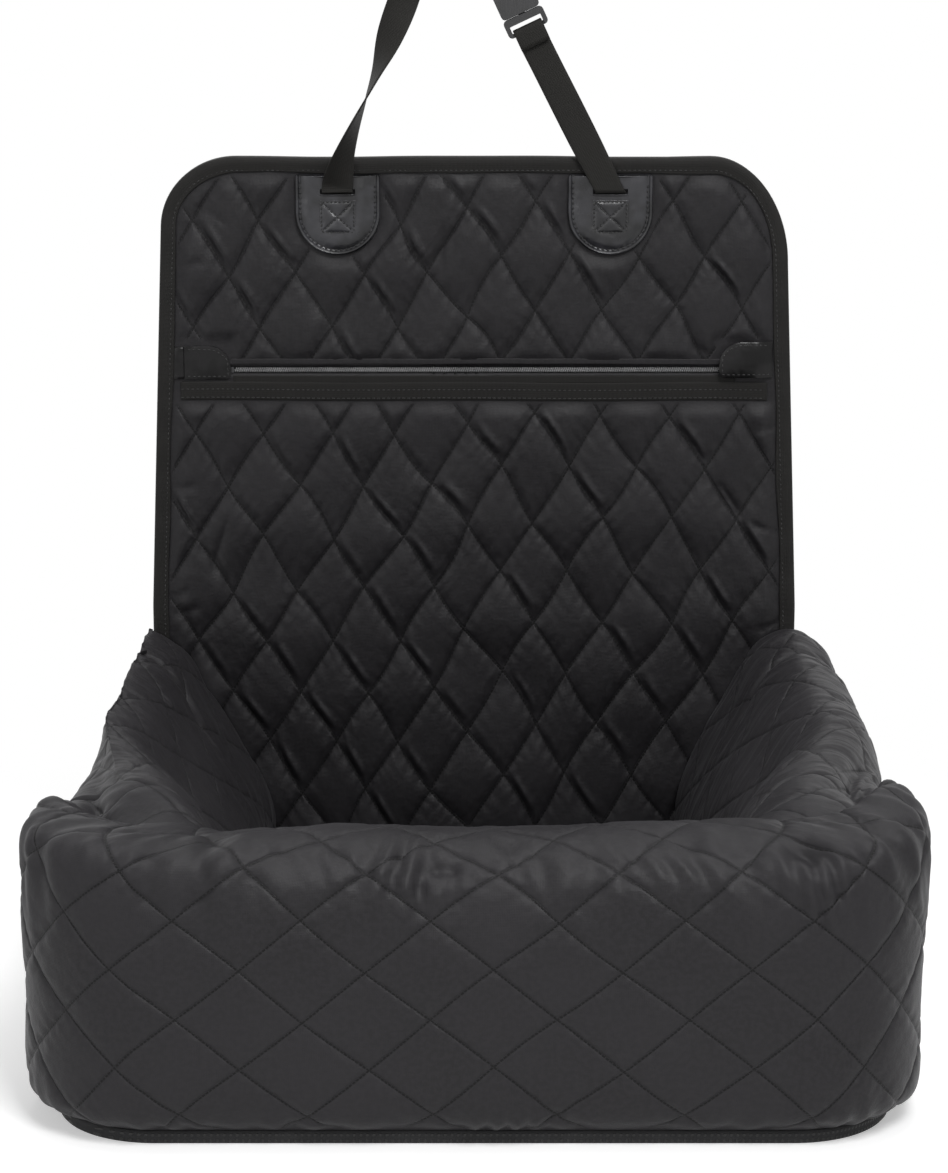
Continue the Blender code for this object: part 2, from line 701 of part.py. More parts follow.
def upper_edge():
    """The flap's free edge: up the right side, round both top corners and down the left side."""
    quarter = math.pi / 2
    right_z = PANEL_TOP_Z - CORNER_RIGHT_HEIGHT
    left_z = PANEL_TOP_Z - CORNER_LEFT_HEIGHT
    right_centre = (panel_half(right_z) - CORNER_RIGHT_WIDTH, right_z)
    left_centre = (CORNER_LEFT_WIDTH - panel_half(left_z), left_z)
    right = arc(right_centre, CORNER_RIGHT_WIDTH, CORNER_RIGHT_HEIGHT, 0, quarter, CORNER_STEPS)
    return right + arc(left_centre, CORNER_LEFT_WIDTH, CORNER_LEFT_HEIGHT, quarter, 2 * quarter, CORNER_STEPS)


def flap_outline(distance, bottom):
    """The flap's outline, set in by a distance from its free edge, above a bottom level."""
    low = FOLD_Z - CUT_OVERRUN
    ring = [(-PANEL_HALF_FOLD, low), (PANEL_HALF_FOLD, low), *upper_edge()]
    moved = inset(ring, distance)
    return [(cut_x(moved, index, bottom), max(z, bottom)) for index, (x, z) in enumerate(moved)]


def cut_x(outline, index, bottom):
    """X of a corner, slid along its side up to the bottom level where it lies below that."""
    x, z = outline[index]
    if z >= bottom:
        return x
    other = outline[2] if x > 0 else outline[-1]
    return x + (other[0] - x) * (bottom - z) / (other[1] - z)


def lower_outline(distance, top):
    half = PANEL_HALF_FOLD - distance
    return [(-half, 0), (half, 0), (half, top), (-half, top)]


def fade_beyond(value, margin, ramp):
    return smooth_step((value - margin) / ramp)


def panel_puff(x, z, column, row):
    """How far the quilting stands out, which is nothing at the edges, the fold, the zip and the patches."""
    puff = pillow((x - PANEL_LATTICE_X) / PANEL_DIAMOND_WIDTH, (z - PANEL_LATTICE_Z) / PANEL_DIAMOND_HEIGHT)
    side = fade_beyond(panel_half(z) - abs(x), BINDING_WIDTH + column, column)
    top = fade_beyond(PANEL_TOP_Z - z, BINDING_WIDTH + row, row)
    fold = fade_beyond(abs(z - FOLD_Z), row, row)
    floor = fade_beyond(z, TRAY_HEIGHT + row, row)
    band_middle = (ZIP_Z + BAND_TOP_Z - BAND_HEIGHT) / 2
    band_reach = (ZIP_Z - BAND_TOP_Z + BAND_HEIGHT) / 2
    zip_fade = fade_beyond(abs(z - band_middle), band_reach + row, row)
    patch_x = abs(abs(x) - PATCH_X) - PATCH_WIDTH / 2
    patch_z = PATCH_BOTTOM_Z - z
    patch = max(fade_beyond(patch_x, column, column), fade_beyond(patch_z, row, row))
    tab_z = max(z - RIGHT_TAB_TOP_Z, BAND_TOP_Z - BAND_HEIGHT - z)
    tab_x = LEFT_TAB_FREE_X - x if x > 0 else x - LEFT_TAB_FREE_X
    tab = max(fade_beyond(tab_z, row, row), fade_beyond(tab_x, column, column))
    corner_x = max(abs(x) - panel_half(z) + CORNER_RIGHT_WIDTH, 0)
    corner_z = max(z - PANEL_TOP_Z + CORNER_RIGHT_HEIGHT, 0)
    corner_left = CORNER_RIGHT_WIDTH + BINDING_WIDTH - math.hypot(corner_x, corner_z)
    corner = fade_beyond(corner_left, BINDING_WIDTH, row)
    return PANEL_PUFF * puff * min(side, top, fold, floor, zip_fade, patch, tab, corner)


def quilted_layer(name, outline, low_z, high_z, steps, carrier=None):
    """A quilted front layer: a puffed sheet, with so many steps to a diamond, cut to its outline."""
    reach = PANEL_HALF_FOLD + CUT_OVERRUN
    column, row = PANEL_DIAMOND_WIDTH / steps, PANEL_DIAMOND_HEIGHT / steps
    columns, first_column = stations_between(-reach, reach, column, PANEL_LATTICE_X)
    rows, first_row = stations_between(low_z, high_z, row, PANEL_LATTICE_Z)
    points = [(x, FACE_Y - panel_puff(x, z, column, row), z) for x in columns for z in rows]
    faces = quilt_faces(len(columns), len(rows), first_column, first_row)
    faces += skirt(points, len(columns), len(rows), lambda point: (point[0], FACE_Y + FRONT_LAYER, point[2]))
    sheet = add_object(name, mesh_of(name, points, faces, True), "cover", carrier)
    front, back = FACE_Y - CUT_OVERRUN, FACE_Y + CUT_OVERRUN
    return combine(sheet, prism_y(name + "_outline", outline, front, back, None, carrier), "INTERSECT")


def channel_ring(point, inward, front, back):
    """A binding's section at a point of the edge: a tape folded over the edge."""
    tape, width = BINDING_TAPE, BINDING_WIDTH
    shape = (
        (0, front), (width, front), (width, front + tape), (tape, front + tape),
        (tape, back - tape), (width, back - tape), (width, back), (0, back),
    )
    return [(point.x + inward.x * depth, y, point.y + inward.y * depth) for depth, y in shape]


def build_binding(name, edge, carrier=None):
    path = [Vector(point) for point in edge]
    rings = []
    for index, point in enumerate(path):
        before = path[max(index - 1, 0)]
        after = path[min(index + 1, len(path) - 1)]
        first = (point - before).normalized() if index else (after - point).normalized()
        second = (after - point).normalized() if index < len(path) - 1 else first
        along = (first + second).normalized()
        inward = Vector((-along.y, along.x)) / max(along.dot(first), math.cos(math.pi / 4))
        rings.append(channel_ring(point, inward, TAPE_FRONT_Y, BACK_Y))
    return loft(name, rings, "binding", carrier)


def build_lower_back():
    hold = BINDING_TAPE + TOUCH_GAP
    stiff_top = FOLD_Z - FOLD_REAR_GAP
    soft = lower_outline(hold, FOLD_Z - FOLD_FRONT_GAP)
    stiff = lower_outline(hold, stiff_top)
    quilted_layer("lower_back_quilt", soft, -CUT_OVERRUN, FOLD_Z + CUT_OVERRUN, PLAIN_STEPS)
    prism_y("lower_back_board", stiff, BOARD_Y, BOARD_Y + BOARD_LAYER, "board")
    prism_y("lower_back_rear_fabric", stiff, REAR_Y, REAR_Y + REAR_LAYER, "underside")
    prism_y("lower_back_wadding", stiff, FACE_Y + FRONT_LAYER + TOUCH_GAP, BOARD_Y - TOUCH_GAP, "foam")
    for side, sign in (("left", -1), ("right", 1)):
        ends = [(sign * PANEL_HALF_FOLD, 0), (sign * PANEL_HALF_FOLD, stiff_top)]
        build_binding(side + "_lower_binding", ends if sign > 0 else ends[::-1])


def build_flap(flap):
    hold = BINDING_TAPE + TOUCH_GAP
    stiff_bottom = FOLD_Z + FOLD_REAR_GAP
    soft = flap_outline(hold, FOLD_Z + FOLD_FRONT_GAP)
    low, high = FOLD_Z - CUT_OVERRUN, PANEL_TOP_Z + CUT_OVERRUN
    quilt = quilted_layer("flap_front_quilt", soft, low, high, FULL_STEPS, flap)
    slot_end = SLIDER_X + SLIDER_LENGTH / 2 + STOP_LENGTH + 2 * TOUCH_GAP
    slot_start = ZIP_LEFT_X - STOP_LENGTH - TOUCH_GAP
    half = ZIP_SLOT_HEIGHT / 2
    low = (slot_start, FACE_Y - CUT_OVERRUN, ZIP_Z - half)
    combine(quilt, box("zip_slot_cut", low, (slot_end, FACE_Y + CUT_OVERRUN, ZIP_Z + half), None, flap))
    stiff = flap_outline(hold, stiff_bottom)
    prism_y("flap_board", stiff, BOARD_Y, BOARD_Y + BOARD_LAYER, "board", flap)
    prism_y("flap_rear_fabric", stiff, REAR_Y, REAR_Y + REAR_LAYER, "underside", flap)
    lining_low = (-POCKET_HALF, LINING_Y, POCKET_BOTTOM_Z)
    lining_high = (POCKET_HALF, LINING_Y + LINING_LAYER, ZIP_Z + ZIP_TAPE_HEIGHT)
    box("pocket_lining", lining_low, lining_high, "underside", flap)
    edge = upper_edge()
    start = (panel_half(stiff_bottom), stiff_bottom)
    build_binding("flap_binding", [start, *edge, (-panel_half(stiff_bottom), stiff_bottom)], flap)


def build_zip(flap):
    """Two tapes, two coils that meet, an end stop at each end and the band sewn below."""
    coil_y = FACE_Y + TOUCH_GAP
    tape_y = coil_y + ZIP_COIL_THICKNESS + TOUCH_GAP
    for side, sign in (("upper", 1), ("lower", -1)):
        near = ZIP_Z + sign * TOUCH_GAP / 2
        far = near + sign * ZIP_COIL_HEIGHT
        zip_half("zip_coil_" + side, (near, far), coil_y, ZIP_COIL_THICKNESS, "zip_coil", flap)
        levels = (near + sign * TAPE_SET_BACK, near + sign * ZIP_TAPE_HEIGHT)
        zip_half("zip_tape_" + side, levels, tape_y, ZIP_TAPE_LAYER, "binding", flap)
    reach = ZIP_COIL_HEIGHT + TOUCH_GAP / 2
    left = ZIP_LEFT_X - TOUCH_GAP
    right = SLIDER_X + SLIDER_LENGTH / 2 + TOUCH_GAP
    for side, x in (("left", left - STOP_LENGTH), ("right", right)):
        low = (x, coil_y, ZIP_Z - reach)
        high = (x + STOP_LENGTH, coil_y + ZIP_COIL_THICKNESS, ZIP_Z + reach)
        box(side + "_zip_stop", low, high, "zip_metal", flap)
    band_low = (-BAND_HALF_LENGTH, FACE_Y - TOUCH_GAP - BAND_LAYER, BAND_TOP_Z - BAND_HEIGHT)
    box("pocket_band", band_low, (BAND_HALF_LENGTH, FACE_Y - TOUCH_GAP, BAND_TOP_Z), "binding", flap)


def zip_half(name, levels, front, thickness, slot, carrier):
    low, high = sorted(levels)
    box(name, (ZIP_LEFT_X, front, low), (ZIP_RIGHT_X, front + thickness, high), slot, carrier)


def build_slider(carrier):
    """Front and back plates joined by a neck at the leading end, with a bridge for the pull."""
    front_plate_back = FACE_Y - TOUCH_GAP
    front_plate = front_plate_back - SLIDER_PLATE
    back_plate = FACE_Y + ZIP_COIL_THICKNESS + ZIP_TAPE_LAYER + 3 * TOUCH_GAP
    half_length, half_height = SLIDER_LENGTH / 2, SLIDER_HEIGHT / 2
    left, right = SLIDER_X - half_length, SLIDER_X + half_length
    neck = right - SLIDER_NECK
    side_view = (
        (left, front_plate), (right, front_plate), (right, back_plate + SLIDER_PLATE / 2),
        (left, back_plate + SLIDER_PLATE / 2), (left, back_plate), (neck, back_plate),
        (neck, front_plate_back), (left, front_plate_back),
    )
    neck_half = ZIP_SLOT_HEIGHT / 2 - TOUCH_GAP
    body = prism_z("zip_slider", side_view, ZIP_Z - neck_half, ZIP_Z + neck_half, "zip_metal", carrier)
    plate_low = (left, front_plate, ZIP_Z - half_height)
    plate_high = (right, front_plate_back, ZIP_Z + half_height)
    combine(body, box("slider_plate", plate_low, plate_high, None, carrier), "UNION")
    foot = front_plate + SLIDER_PLATE / 2
    arch = front_plate - BRIDGE_GAP
    crown = arch - BRIDGE_BAR
    outer, inner = BRIDGE_LENGTH / 2, BRIDGE_LENGTH / 2 - BRIDGE_BAR
    outside = ((-outer, foot), (-outer, crown), (outer, crown), (outer, foot))
    inside = ((inner, foot), (inner, arch), (-inner, arch), (-inner, foot))
    bridge_view = [(SLIDER_X + x, y) for x, y in outside + inside]
    low, high = ZIP_Z - BRIDGE_HEIGHT / 2, ZIP_Z + BRIDGE_HEIGHT / 2
    combine(body, prism_z("slider_bridge", bridge_view, low, high, None, carrier), "UNION")


def pull_pivot():
    front_plate = FACE_Y - TOUCH_GAP - SLIDER_PLATE
    return Vector((SLIDER_X, front_plate - BRIDGE_GAP / 2, ZIP_Z))


def build_pull(carrier):
    """A flat pull whose crossbar turns under the slider's bridge."""
    centre = pull_pivot()
    half, height = PULL_THICKNESS / 2, PULL_HEIGHT / 2
    left = centre.x - half
    outline = [
        (left, centre.z - height), (left + PULL_LENGTH - height, centre.z - height),
        (left + PULL_LENGTH, centre.z - height / 2), (left + PULL_LENGTH, centre.z + height / 2),
        (left + PULL_LENGTH - height, centre.z + height), (left, centre.z + height),
    ]
    pull = prism_y("zip_pull", outline, centre.y - half, centre.y + half, "zip_metal", carrier)
    eye = BRIDGE_HEIGHT / 2 + TOUCH_GAP
    low = (centre.x + half, centre.y - CUT_OVERRUN, centre.z - eye)
    high = (centre.x + half + PULL_EYE_LENGTH, centre.y + CUT_OVERRUN, centre.z + eye)
    combine(pull, box("pull_eye_cut", low, high, None, carrier))


def build_tab(name, hinge_x, width, low, high, lift, carrier):
    """A flap over a zip end, sewn along its outer edge, with round corners at its free edge."""
    sign = 1 if width > 0 else -1
    back = FACE_Y - TOUCH_GAP
    rings = []
    for step in range(TAB_STEPS + 1):
        share = step / TAB_STEPS
        x = hinge_x + width * share
        reach = max(0, 1 - (abs(width) * (1 - share)) / TAB_CORNER)
        trim = TAB_CORNER * (1 - math.sqrt(max(0, 1 - reach * reach))) * TAB_TRIM_SHARE
        raised = lift * math.sin(math.pi / 2 * min(1, share / TAB_RISE_SHARE))
        rings.append(
            [
                (x, back - raised - TAB_LAYER, low + trim), (x, back - raised, low + trim),
                (x, back - raised, high - trim), (x, back - raised - TAB_LAYER, high - trim),
            ]
        )
    return loft(name, rings if sign > 0 else rings[::-1], "patch", carrier)


def patch_outline(centre_x):
    """A U: straight sides from the binding down, and a half round end."""
    half = PATCH_WIDTH / 2
    top = PANEL_TOP_Z - BINDING_WIDTH - 2 * TOUCH_GAP
    centre_z = PATCH_BOTTOM_Z + half
    round_end = arc((centre_x, centre_z), half, half, math.pi, 2 * math.pi, PATCH_STEPS)
    return [(centre_x + half, top), (centre_x - half, top), *round_end]


def build_patch(side, sign, flap):
    centre = sign * PATCH_X
    back = FACE_Y - TOUCH_GAP
    face = back - PATCH_THICKNESS
    outline = patch_outline(centre)
    inner = inset(outline, PATCH_RIM_WIDTH)
    soft = inset(outline, PATCH_RIM_HEIGHT)
    levels = ((outline, back), (outline, face), (soft, face - PATCH_RIM_HEIGHT))
    levels += ((inset(outline, PATCH_RIM_WIDTH - PATCH_RIM_HEIGHT), face - PATCH_RIM_HEIGHT), (inner, face))
    rings = [[(x, y, z) for x, z in ring] for ring, y in levels]
    patch = loft(side + "_strap_patch", rings, "patch", flap)
    slot_low = (centre - SLOT_WIDTH / 2, face - CUT_OVERRUN, SLOT_Z - SLOT_HEIGHT / 2)
    slot_high = (centre + SLOT_WIDTH / 2, back + CUT_OVERRUN, SLOT_Z + SLOT_HEIGHT / 2)
    combine(patch, box(side + "_slot_cut", slot_low, slot_high, None, flap))
    recess = back - WEBBING_THICKNESS - 3 * TOUCH_GAP
    low = (centre - SLOT_WIDTH / 2, recess, SLOT_Z - ROOT_LENGTH - TOUCH_GAP)
    high = (centre + SLOT_WIDTH / 2, back + CUT_OVERRUN, SLOT_Z + SLOT_HEIGHT / 2)
    combine(patch, box(side + "_recess_cut", low, high, None, flap))


def build_strap_root(side, sign, flap):
    """The strap's sewn end: flat behind the patch, and out through the slot to where the strap swings."""
    centre = sign * PATCH_X
    back = FACE_Y - 2 * TOUCH_GAP
    half = WEBBING_THICKNESS / 2
    tip = STRAP_Y + half + RUNNING_GAP
    top = SLOT_Z + half
    side_view = (
        (back, SLOT_Z - ROOT_LENGTH), (back, top), (tip, top), (tip, SLOT_Z - half),
        (back - WEBBING_THICKNESS, SLOT_Z - half), (back - WEBBING_THICKNESS, SLOT_Z - ROOT_LENGTH),
    )
    width = WEBBING_WIDTH / 2
    rings = [[(x, y, z) for y, z in side_view] for x in (centre - width, centre + width)]
    loft(side + "_strap_root", rings, "webbing", flap)


# Straps and buckle
def ribbon(name, stations, carrier):
    """Flat webbing along stations of a centre and a direction across."""
    rings = []
    for index, (centre, across) in enumerate(stations):
        before = stations[max(index - 1, 0)][0]
        after = stations[min(index + 1, len(stations) - 1)][0]
        normal = (after - before).cross(across).normalized() * WEBBING_THICKNESS / 2
        side = across.normalized() * WEBBING_WIDTH / 2
        corners = (side + normal, side - normal, -side - normal, normal - side)
        rings.append([tuple(centre + corner) for corner in corners])
    return loft(name, rings, "webbing", carrier, True)


def buckle_axes():
    along = Vector((-math.sin(BUCKLE_LEAN), 0, math.cos(BUCKLE_LEAN)))
    across = Vector((math.cos(BUCKLE_LEAN), 0, math.sin(BUCKLE_LEAN)))
    return along, across


def bar_wrap_radius(bar_size=BAR_THICKNESS):
    return bar_size / 2 + TOUCH_GAP + WEBBING_THICKNESS / 2


def wrap_stations(bar, towards, across):
    """Webbing that comes along one side of a bar, round it and back along its front as a sewn tail."""
    beside = Vector((0, bar_wrap_radius(), 0))
    beyond = -towards * bar_wrap_radius(BAR_WIDTH + WRAP_EASE)
    stations = []
    for step in range(WRAP_STEPS + 1):
        angle = math.pi * step / WRAP_STEPS
        stations.append((bar + beside * math.cos(angle) + beyond * math.sin(angle), across))
    stations.append((bar - beside + towards * BUCKLE_TAIL, across))
    return stations


def male_bar():
    return Vector((BUCKLE_X, STRAP_Y - bar_wrap_radius(), BUCKLE_Z))


def female_bar_offset():
    return (
        MALE_BODY_LENGTH - BAR_WIDTH / 2 + TOUCH_GAP + FEMALE_CAVITY_LENGTH + FEMALE_WEB
        + FEMALE_WINDOW_LENGTH + BAR_WIDTH / 2
    )


def build_right_strap(carrier):
    along, across = buckle_axes()
    start = Vector((PATCH_X, STRAP_Y, SLOT_Z - WEBBING_THICKNESS / 2))
    bar = male_bar()
    arrive = bar + Vector((0, bar_wrap_radius(), 0)) - along * BUCKLE_TAIL
    stations = []
    for step in range(STRAP_STEPS):
        share = step / STRAP_STEPS
        centre = start.lerp(arrive, share)
        turn = BUCKLE_LEAN * smooth_step(share * 2)
        stations.append((centre, Vector((math.cos(turn), 0, math.sin(turn)))))
    stations.append((arrive, across))
    stations += wrap_stations(bar, -along, across)
    ribbon("right_strap", stations, carrier)


def build_left_strap(carrier):
    along, across = buckle_axes()
    bar = male_bar() + along * female_bar_offset()
    arrive = bar + Vector((0, bar_wrap_radius(), 0)) + along * BUCKLE_TAIL
    route = [*LEFT_ROUTE, (arrive.x, arrive.z - SLOT_Z, 0, 2)]
    line = curve_through(route, LEFT_ROUTE_STEPS)
    line[0] = (line[0][0], line[0][1] - WEBBING_THICKNESS / 2, *line[0][2:])
    stations = []
    for index, (x, height, forward, half_turns) in enumerate(line):
        before = line[max(index - 1, 0)]
        after = line[min(index + 1, len(line) - 1)]
        tangent = Vector((after[0] - before[0], 0, after[1] - before[1])).normalized()
        flat = Vector((tangent.z, 0, -tangent.x))
        turn = math.pi * half_turns
        sideways = flat * math.cos(turn) + Vector((0, math.sin(turn), 0))
        stations.append((Vector((x, STRAP_Y - forward, SLOT_Z + height)), sideways))
    sign = 1 if stations[-1][1].dot(across) > 0 else -1
    stations += [(centre, side * sign) for centre, side in wrap_stations(bar, along, across)]
    ribbon("left_strap", stations, carrier)


def place_in_buckle(obj, offset=0):
    along, across = buckle_axes()
    obj.matrix_parent_inverse = obj.matrix_parent_inverse @ Matrix.Translation(male_bar() + along * offset)
    obj.matrix_parent_inverse = obj.matrix_parent_inverse @ Matrix.Rotation(-BUCKLE_LEAN, 4, "Y")
    return obj


def soften(obj, width):
    bevel = obj.modifiers.new("soft_edges", "BEVEL")
    bevel.width = width
    bevel.segments = 1
    bevel.limit_method = "ANGLE"
    bevel.angle_limit = BUCKLE_SHARP_ANGLE
    return obj


def build_buckle_male(carrier):
    """Webbing bar, window and shoulder in one plate, with the middle guide that enters the female half."""
    low = -BAR_WIDTH / 2
    high = low + MALE_BODY_LENGTH
    half = MALE_BODY_THICKNESS / 2
    outline = rounded_box(MALE_HALF_WIDTH, low, high, BAR_WIDTH, BUCKLE_CORNER_STEPS)
    body = place_in_buckle(prism_y("buckle_male", outline, -half, half, "buckle", carrier))
    window_high = low + BAR_WIDTH + MALE_WINDOW_LENGTH
    window_from = (-MALE_WINDOW_HALF, -CUT_OVERRUN, BAR_WIDTH / 2)
    window_to = (MALE_WINDOW_HALF, CUT_OVERRUN, window_high)
    combine(body, place_in_buckle(box("male_window_cut", window_from, window_to, None, carrier)))
    for side, y in (("front", -half), ("back", half)):
        depth = half - BAR_THICKNESS / 2
        near, far = sorted((y, y - math.copysign(depth, y)))
        grown = CUT_OVERRUN if y > 0 else 0
        relief_from = (-MALE_WINDOW_HALF, near - (CUT_OVERRUN - grown), low - CUT_OVERRUN)
        relief_to = (MALE_WINDOW_HALF, far + grown, window_high)
        relief = box("male_" + side + "_relief_cut", relief_from, relief_to, None, carrier)
        combine(body, place_in_buckle(relief))
    guide_half = ARM_THICKNESS / 2
    guide_from = (-GUIDE_HALF_WIDTH, -guide_half, high - BAR_WIDTH)
    guide_to = (GUIDE_HALF_WIDTH, guide_half, high + GUIDE_LENGTH)
    combine(body, place_in_buckle(box("male_guide", guide_from, guide_to, None, carrier)), "UNION")
    return soften(body, BUCKLE_EDGE_BEVEL)


def build_buckle_arms(carrier):
    """Two spring arms whose latching bumps stand in the female half's side windows."""
    start = MALE_BODY_LENGTH - BAR_WIDTH / 2 + TOUCH_GAP
    inner, outer = ARM_INNER_X, ARM_INNER_X + ARM_WIDTH
    bump = outer + ARM_BUMP
    window = start + SIDE_WINDOW_START + 2 * TOUCH_GAP
    window_end = window + SIDE_WINDOW_LENGTH - 4 * TOUCH_GAP
    tip = start + ARM_LENGTH
    outline = (
        (inner, start), (outer, start), (outer, window), (bump, window), (bump, window + ARM_WIDTH),
        (outer, window_end), (outer, tip), (inner, tip),
    )
    for side, sign in (("left", -1), ("right", 1)):
        points = [(sign * x, z) for x, z in outline]
        half = ARM_THICKNESS / 2
        place_in_buckle(prism_y("buckle_arm_" + side, points, -half, half, "buckle", carrier))


def build_buckle_female(carrier):
    """A hollow sleeve, open below for the male half, with side windows and a webbing bar at its top."""
    start = MALE_BODY_LENGTH - BAR_WIDTH / 2 + TOUCH_GAP
    cavity_end = start + FEMALE_CAVITY_LENGTH
    window_start = cavity_end + FEMALE_WEB
    window_end = window_start + FEMALE_WINDOW_LENGTH
    end = window_end + BAR_WIDTH
    half = FEMALE_THICKNESS / 2
    outline = rounded_box(FEMALE_HALF_WIDTH, start, end, BAR_WIDTH, BUCKLE_CORNER_STEPS)
    sleeve = place_in_buckle(prism_y("buckle_female", outline, -half, half, "buckle", carrier))
    inner_x = FEMALE_HALF_WIDTH - FEMALE_WALL
    inner_y = half - FEMALE_WALL
    cuts = {"female_cavity_cut": ((-inner_x, -inner_y, start - CUT_OVERRUN), (inner_x, inner_y, cavity_end))}
    cuts["female_window_cut"] = (
        (-MALE_WINDOW_HALF, -CUT_OVERRUN, window_start),
        (MALE_WINDOW_HALF, CUT_OVERRUN, window_end),
    )
    window = start + SIDE_WINDOW_START
    across = FEMALE_HALF_WIDTH + CUT_OVERRUN
    cuts["female_side_cut"] = ((-across, -inner_y, window), (across, inner_y, window + SIDE_WINDOW_LENGTH))
    bar_half = BAR_THICKNESS / 2
    cuts["female_front_relief_cut"] = (
        (-MALE_WINDOW_HALF, -half - CUT_OVERRUN, window_start),
        (MALE_WINDOW_HALF, -bar_half, end + CUT_OVERRUN),
    )
    cuts["female_back_relief_cut"] = (
        (-MALE_WINDOW_HALF, bar_half, window_start),
        (MALE_WINDOW_HALF, half + CUT_OVERRUN, end + CUT_OVERRUN),
    )
    for name, (low, high) in cuts.items():
        combine(sleeve, place_in_buckle(box(name, low, high, None, carrier)))
    return soften(sleeve, BUCKLE_EDGE_BEVEL)


def build():
    clear_scene()
    build_tray()
    build_floor_cushion()
    build_front_bolster()
    build_side_bolster("left", -1, SIDE_LEFT_BULGE)
    build_side_bolster("right", 1, SIDE_RIGHT_BULGE)
    build_lower_back()
    flap = pivot("flap_fold_axis", (0, FACE_Y, FOLD_Z))
    build_flap(flap)
    build_zip(flap)
    hinge_y = FACE_Y - TOUCH_GAP - TAB_LAYER / 2
    left_tab = pivot("left_tab_axis", (LEFT_TAB_X, hinge_y, LEFT_TAB_BOTTOM_Z), flap)
    right_tab = pivot("right_tab_axis", (RIGHT_TAB_X, hinge_y, RIGHT_TAB_BOTTOM_Z), flap)
    build_tab("left_zip_tab", LEFT_TAB_X, LEFT_TAB_WIDTH, LEFT_TAB_BOTTOM_Z, LEFT_TAB_TOP_Z, 0, left_tab)
    low, high = RIGHT_TAB_BOTTOM_Z, RIGHT_TAB_TOP_Z
    build_tab("right_zip_tab", RIGHT_TAB_X, -RIGHT_TAB_WIDTH, low, high, RIGHT_TAB_LIFT, right_tab)
    slider = pivot("zip_slide_axis", (SLIDER_X, FACE_Y, ZIP_Z), flap)
    build_slider(slider)
    build_pull(pivot("zip_pull_axis", pull_pivot(), slider))
    for side, sign in (("left", -1), ("right", 1)):
        build_patch(side, sign, flap)
        build_strap_root(side, sign, flap)
    swing = pivot("strap_swing_axis", (0, STRAP_Y, SLOT_Z), flap)
    build_left_strap(swing)
    build_right_strap(swing)
    build_buckle_female(swing)
    male = pivot("buckle_slide_axis", male_bar(), swing)
    build_buckle_male(male)
    build_buckle_arms(male)


build()
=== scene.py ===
"""Looks of the dog car seat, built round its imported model: a quilted bed, a quilted back flap with a zip and
PU patches, and two webbing straps. Metres, +Z up, the front faces -Y."""

import math

import bmesh
import bpy
import numpy as np
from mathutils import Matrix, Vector

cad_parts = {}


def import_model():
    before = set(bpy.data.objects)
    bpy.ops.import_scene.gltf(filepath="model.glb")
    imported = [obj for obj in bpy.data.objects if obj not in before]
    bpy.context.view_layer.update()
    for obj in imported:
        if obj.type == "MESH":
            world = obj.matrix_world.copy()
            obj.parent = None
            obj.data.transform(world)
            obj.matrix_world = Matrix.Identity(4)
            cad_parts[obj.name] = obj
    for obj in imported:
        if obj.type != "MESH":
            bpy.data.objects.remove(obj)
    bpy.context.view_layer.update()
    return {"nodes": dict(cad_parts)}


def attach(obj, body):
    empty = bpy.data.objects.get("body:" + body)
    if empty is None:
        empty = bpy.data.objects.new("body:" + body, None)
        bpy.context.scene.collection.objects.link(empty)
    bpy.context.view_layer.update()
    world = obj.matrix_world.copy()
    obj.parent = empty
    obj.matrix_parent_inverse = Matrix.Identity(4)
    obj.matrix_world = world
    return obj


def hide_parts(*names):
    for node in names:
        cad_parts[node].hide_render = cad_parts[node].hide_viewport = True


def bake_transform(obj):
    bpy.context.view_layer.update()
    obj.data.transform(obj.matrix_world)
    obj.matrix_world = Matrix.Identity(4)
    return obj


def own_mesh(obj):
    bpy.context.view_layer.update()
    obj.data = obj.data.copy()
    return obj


# Sizes of the object: the part's own, apart from a few that the looks set
OVERALL_WIDTH = 0.632
OVERALL_DEPTH = 0.580
PANEL_TOP_Z = 0.640
FOLD_Z = 0.262
TOUCH_GAP = 0.0003
TRAY_HEIGHT = 0.010
TRAY_FRONT_RADIUS = 0.075
TRAY_BACK_RADIUS = 0.006
CUSHION_EDGE_HEIGHT = 0.048
CUSHION_CROWN = 0.018
CUSHION_ROUNDING_POWER = 4
BOLSTER_BULGE = 0.020
BOLSTER_DEPTH = 0.115
FRONT_CROWN_Z = 0.222
SIDE_CROWN_Z = 0.230
SIDE_BACK_CROWN_Z = 0.246
SIDE_RISE_START_SHARE = 0.45
INNER_HALF_FRONT = 0.181
INNER_HALF_BACK = 0.165
INNER_CORNER_RADIUS = 0.030
INNER_CORNER_SWEEP = math.radians(70)
SIDE_SEAM_Y = -0.075
SIDE_LEFT_BULGE = 0.012
SIDE_RIGHT_BULGE = 0.037
SECTION_BLEND_SHARE = 0.35
BOLSTER_DIAMOND = (0.083, 0.071)
BOLSTER_LATTICE_X = -0.028
BOLSTER_LATTICE_RISE = 0.0229
PANEL_DIAMOND = (0.0568, 0.0890)
PANEL_LATTICE_X = 0.0224
PANEL_LATTICE_Z = 0.5595
PANEL_PUFF = 0.0060
PANEL_TOP_SETBACK = 0.0590
PANEL_FOLD_SETBACK = 0.0435
CORNER_LEFT_WIDTH = 0.062
CORNER_LEFT_HEIGHT = 0.058
CORNER_RIGHT_WIDTH = 0.066
CORNER_RIGHT_HEIGHT = 0.088
PANEL_THICKNESS = 0.0150
BOARD_LAYER = 0.0052
REAR_LAYER = 0.0012
BINDING_WIDTH = 0.0130
BINDING_TAPE = 0.0012
ZIP_Z = 0.4640
ZIP_LEFT_X = -0.2000
ZIP_RIGHT_X = 0.214533
ZIP_SLOT_HEIGHT = 0.0056
ZIP_COIL_THICKNESS = 0.0020
ZIP_TAPE_HEIGHT = 0.0110
ZIP_TAPE_LAYER = 0.0008
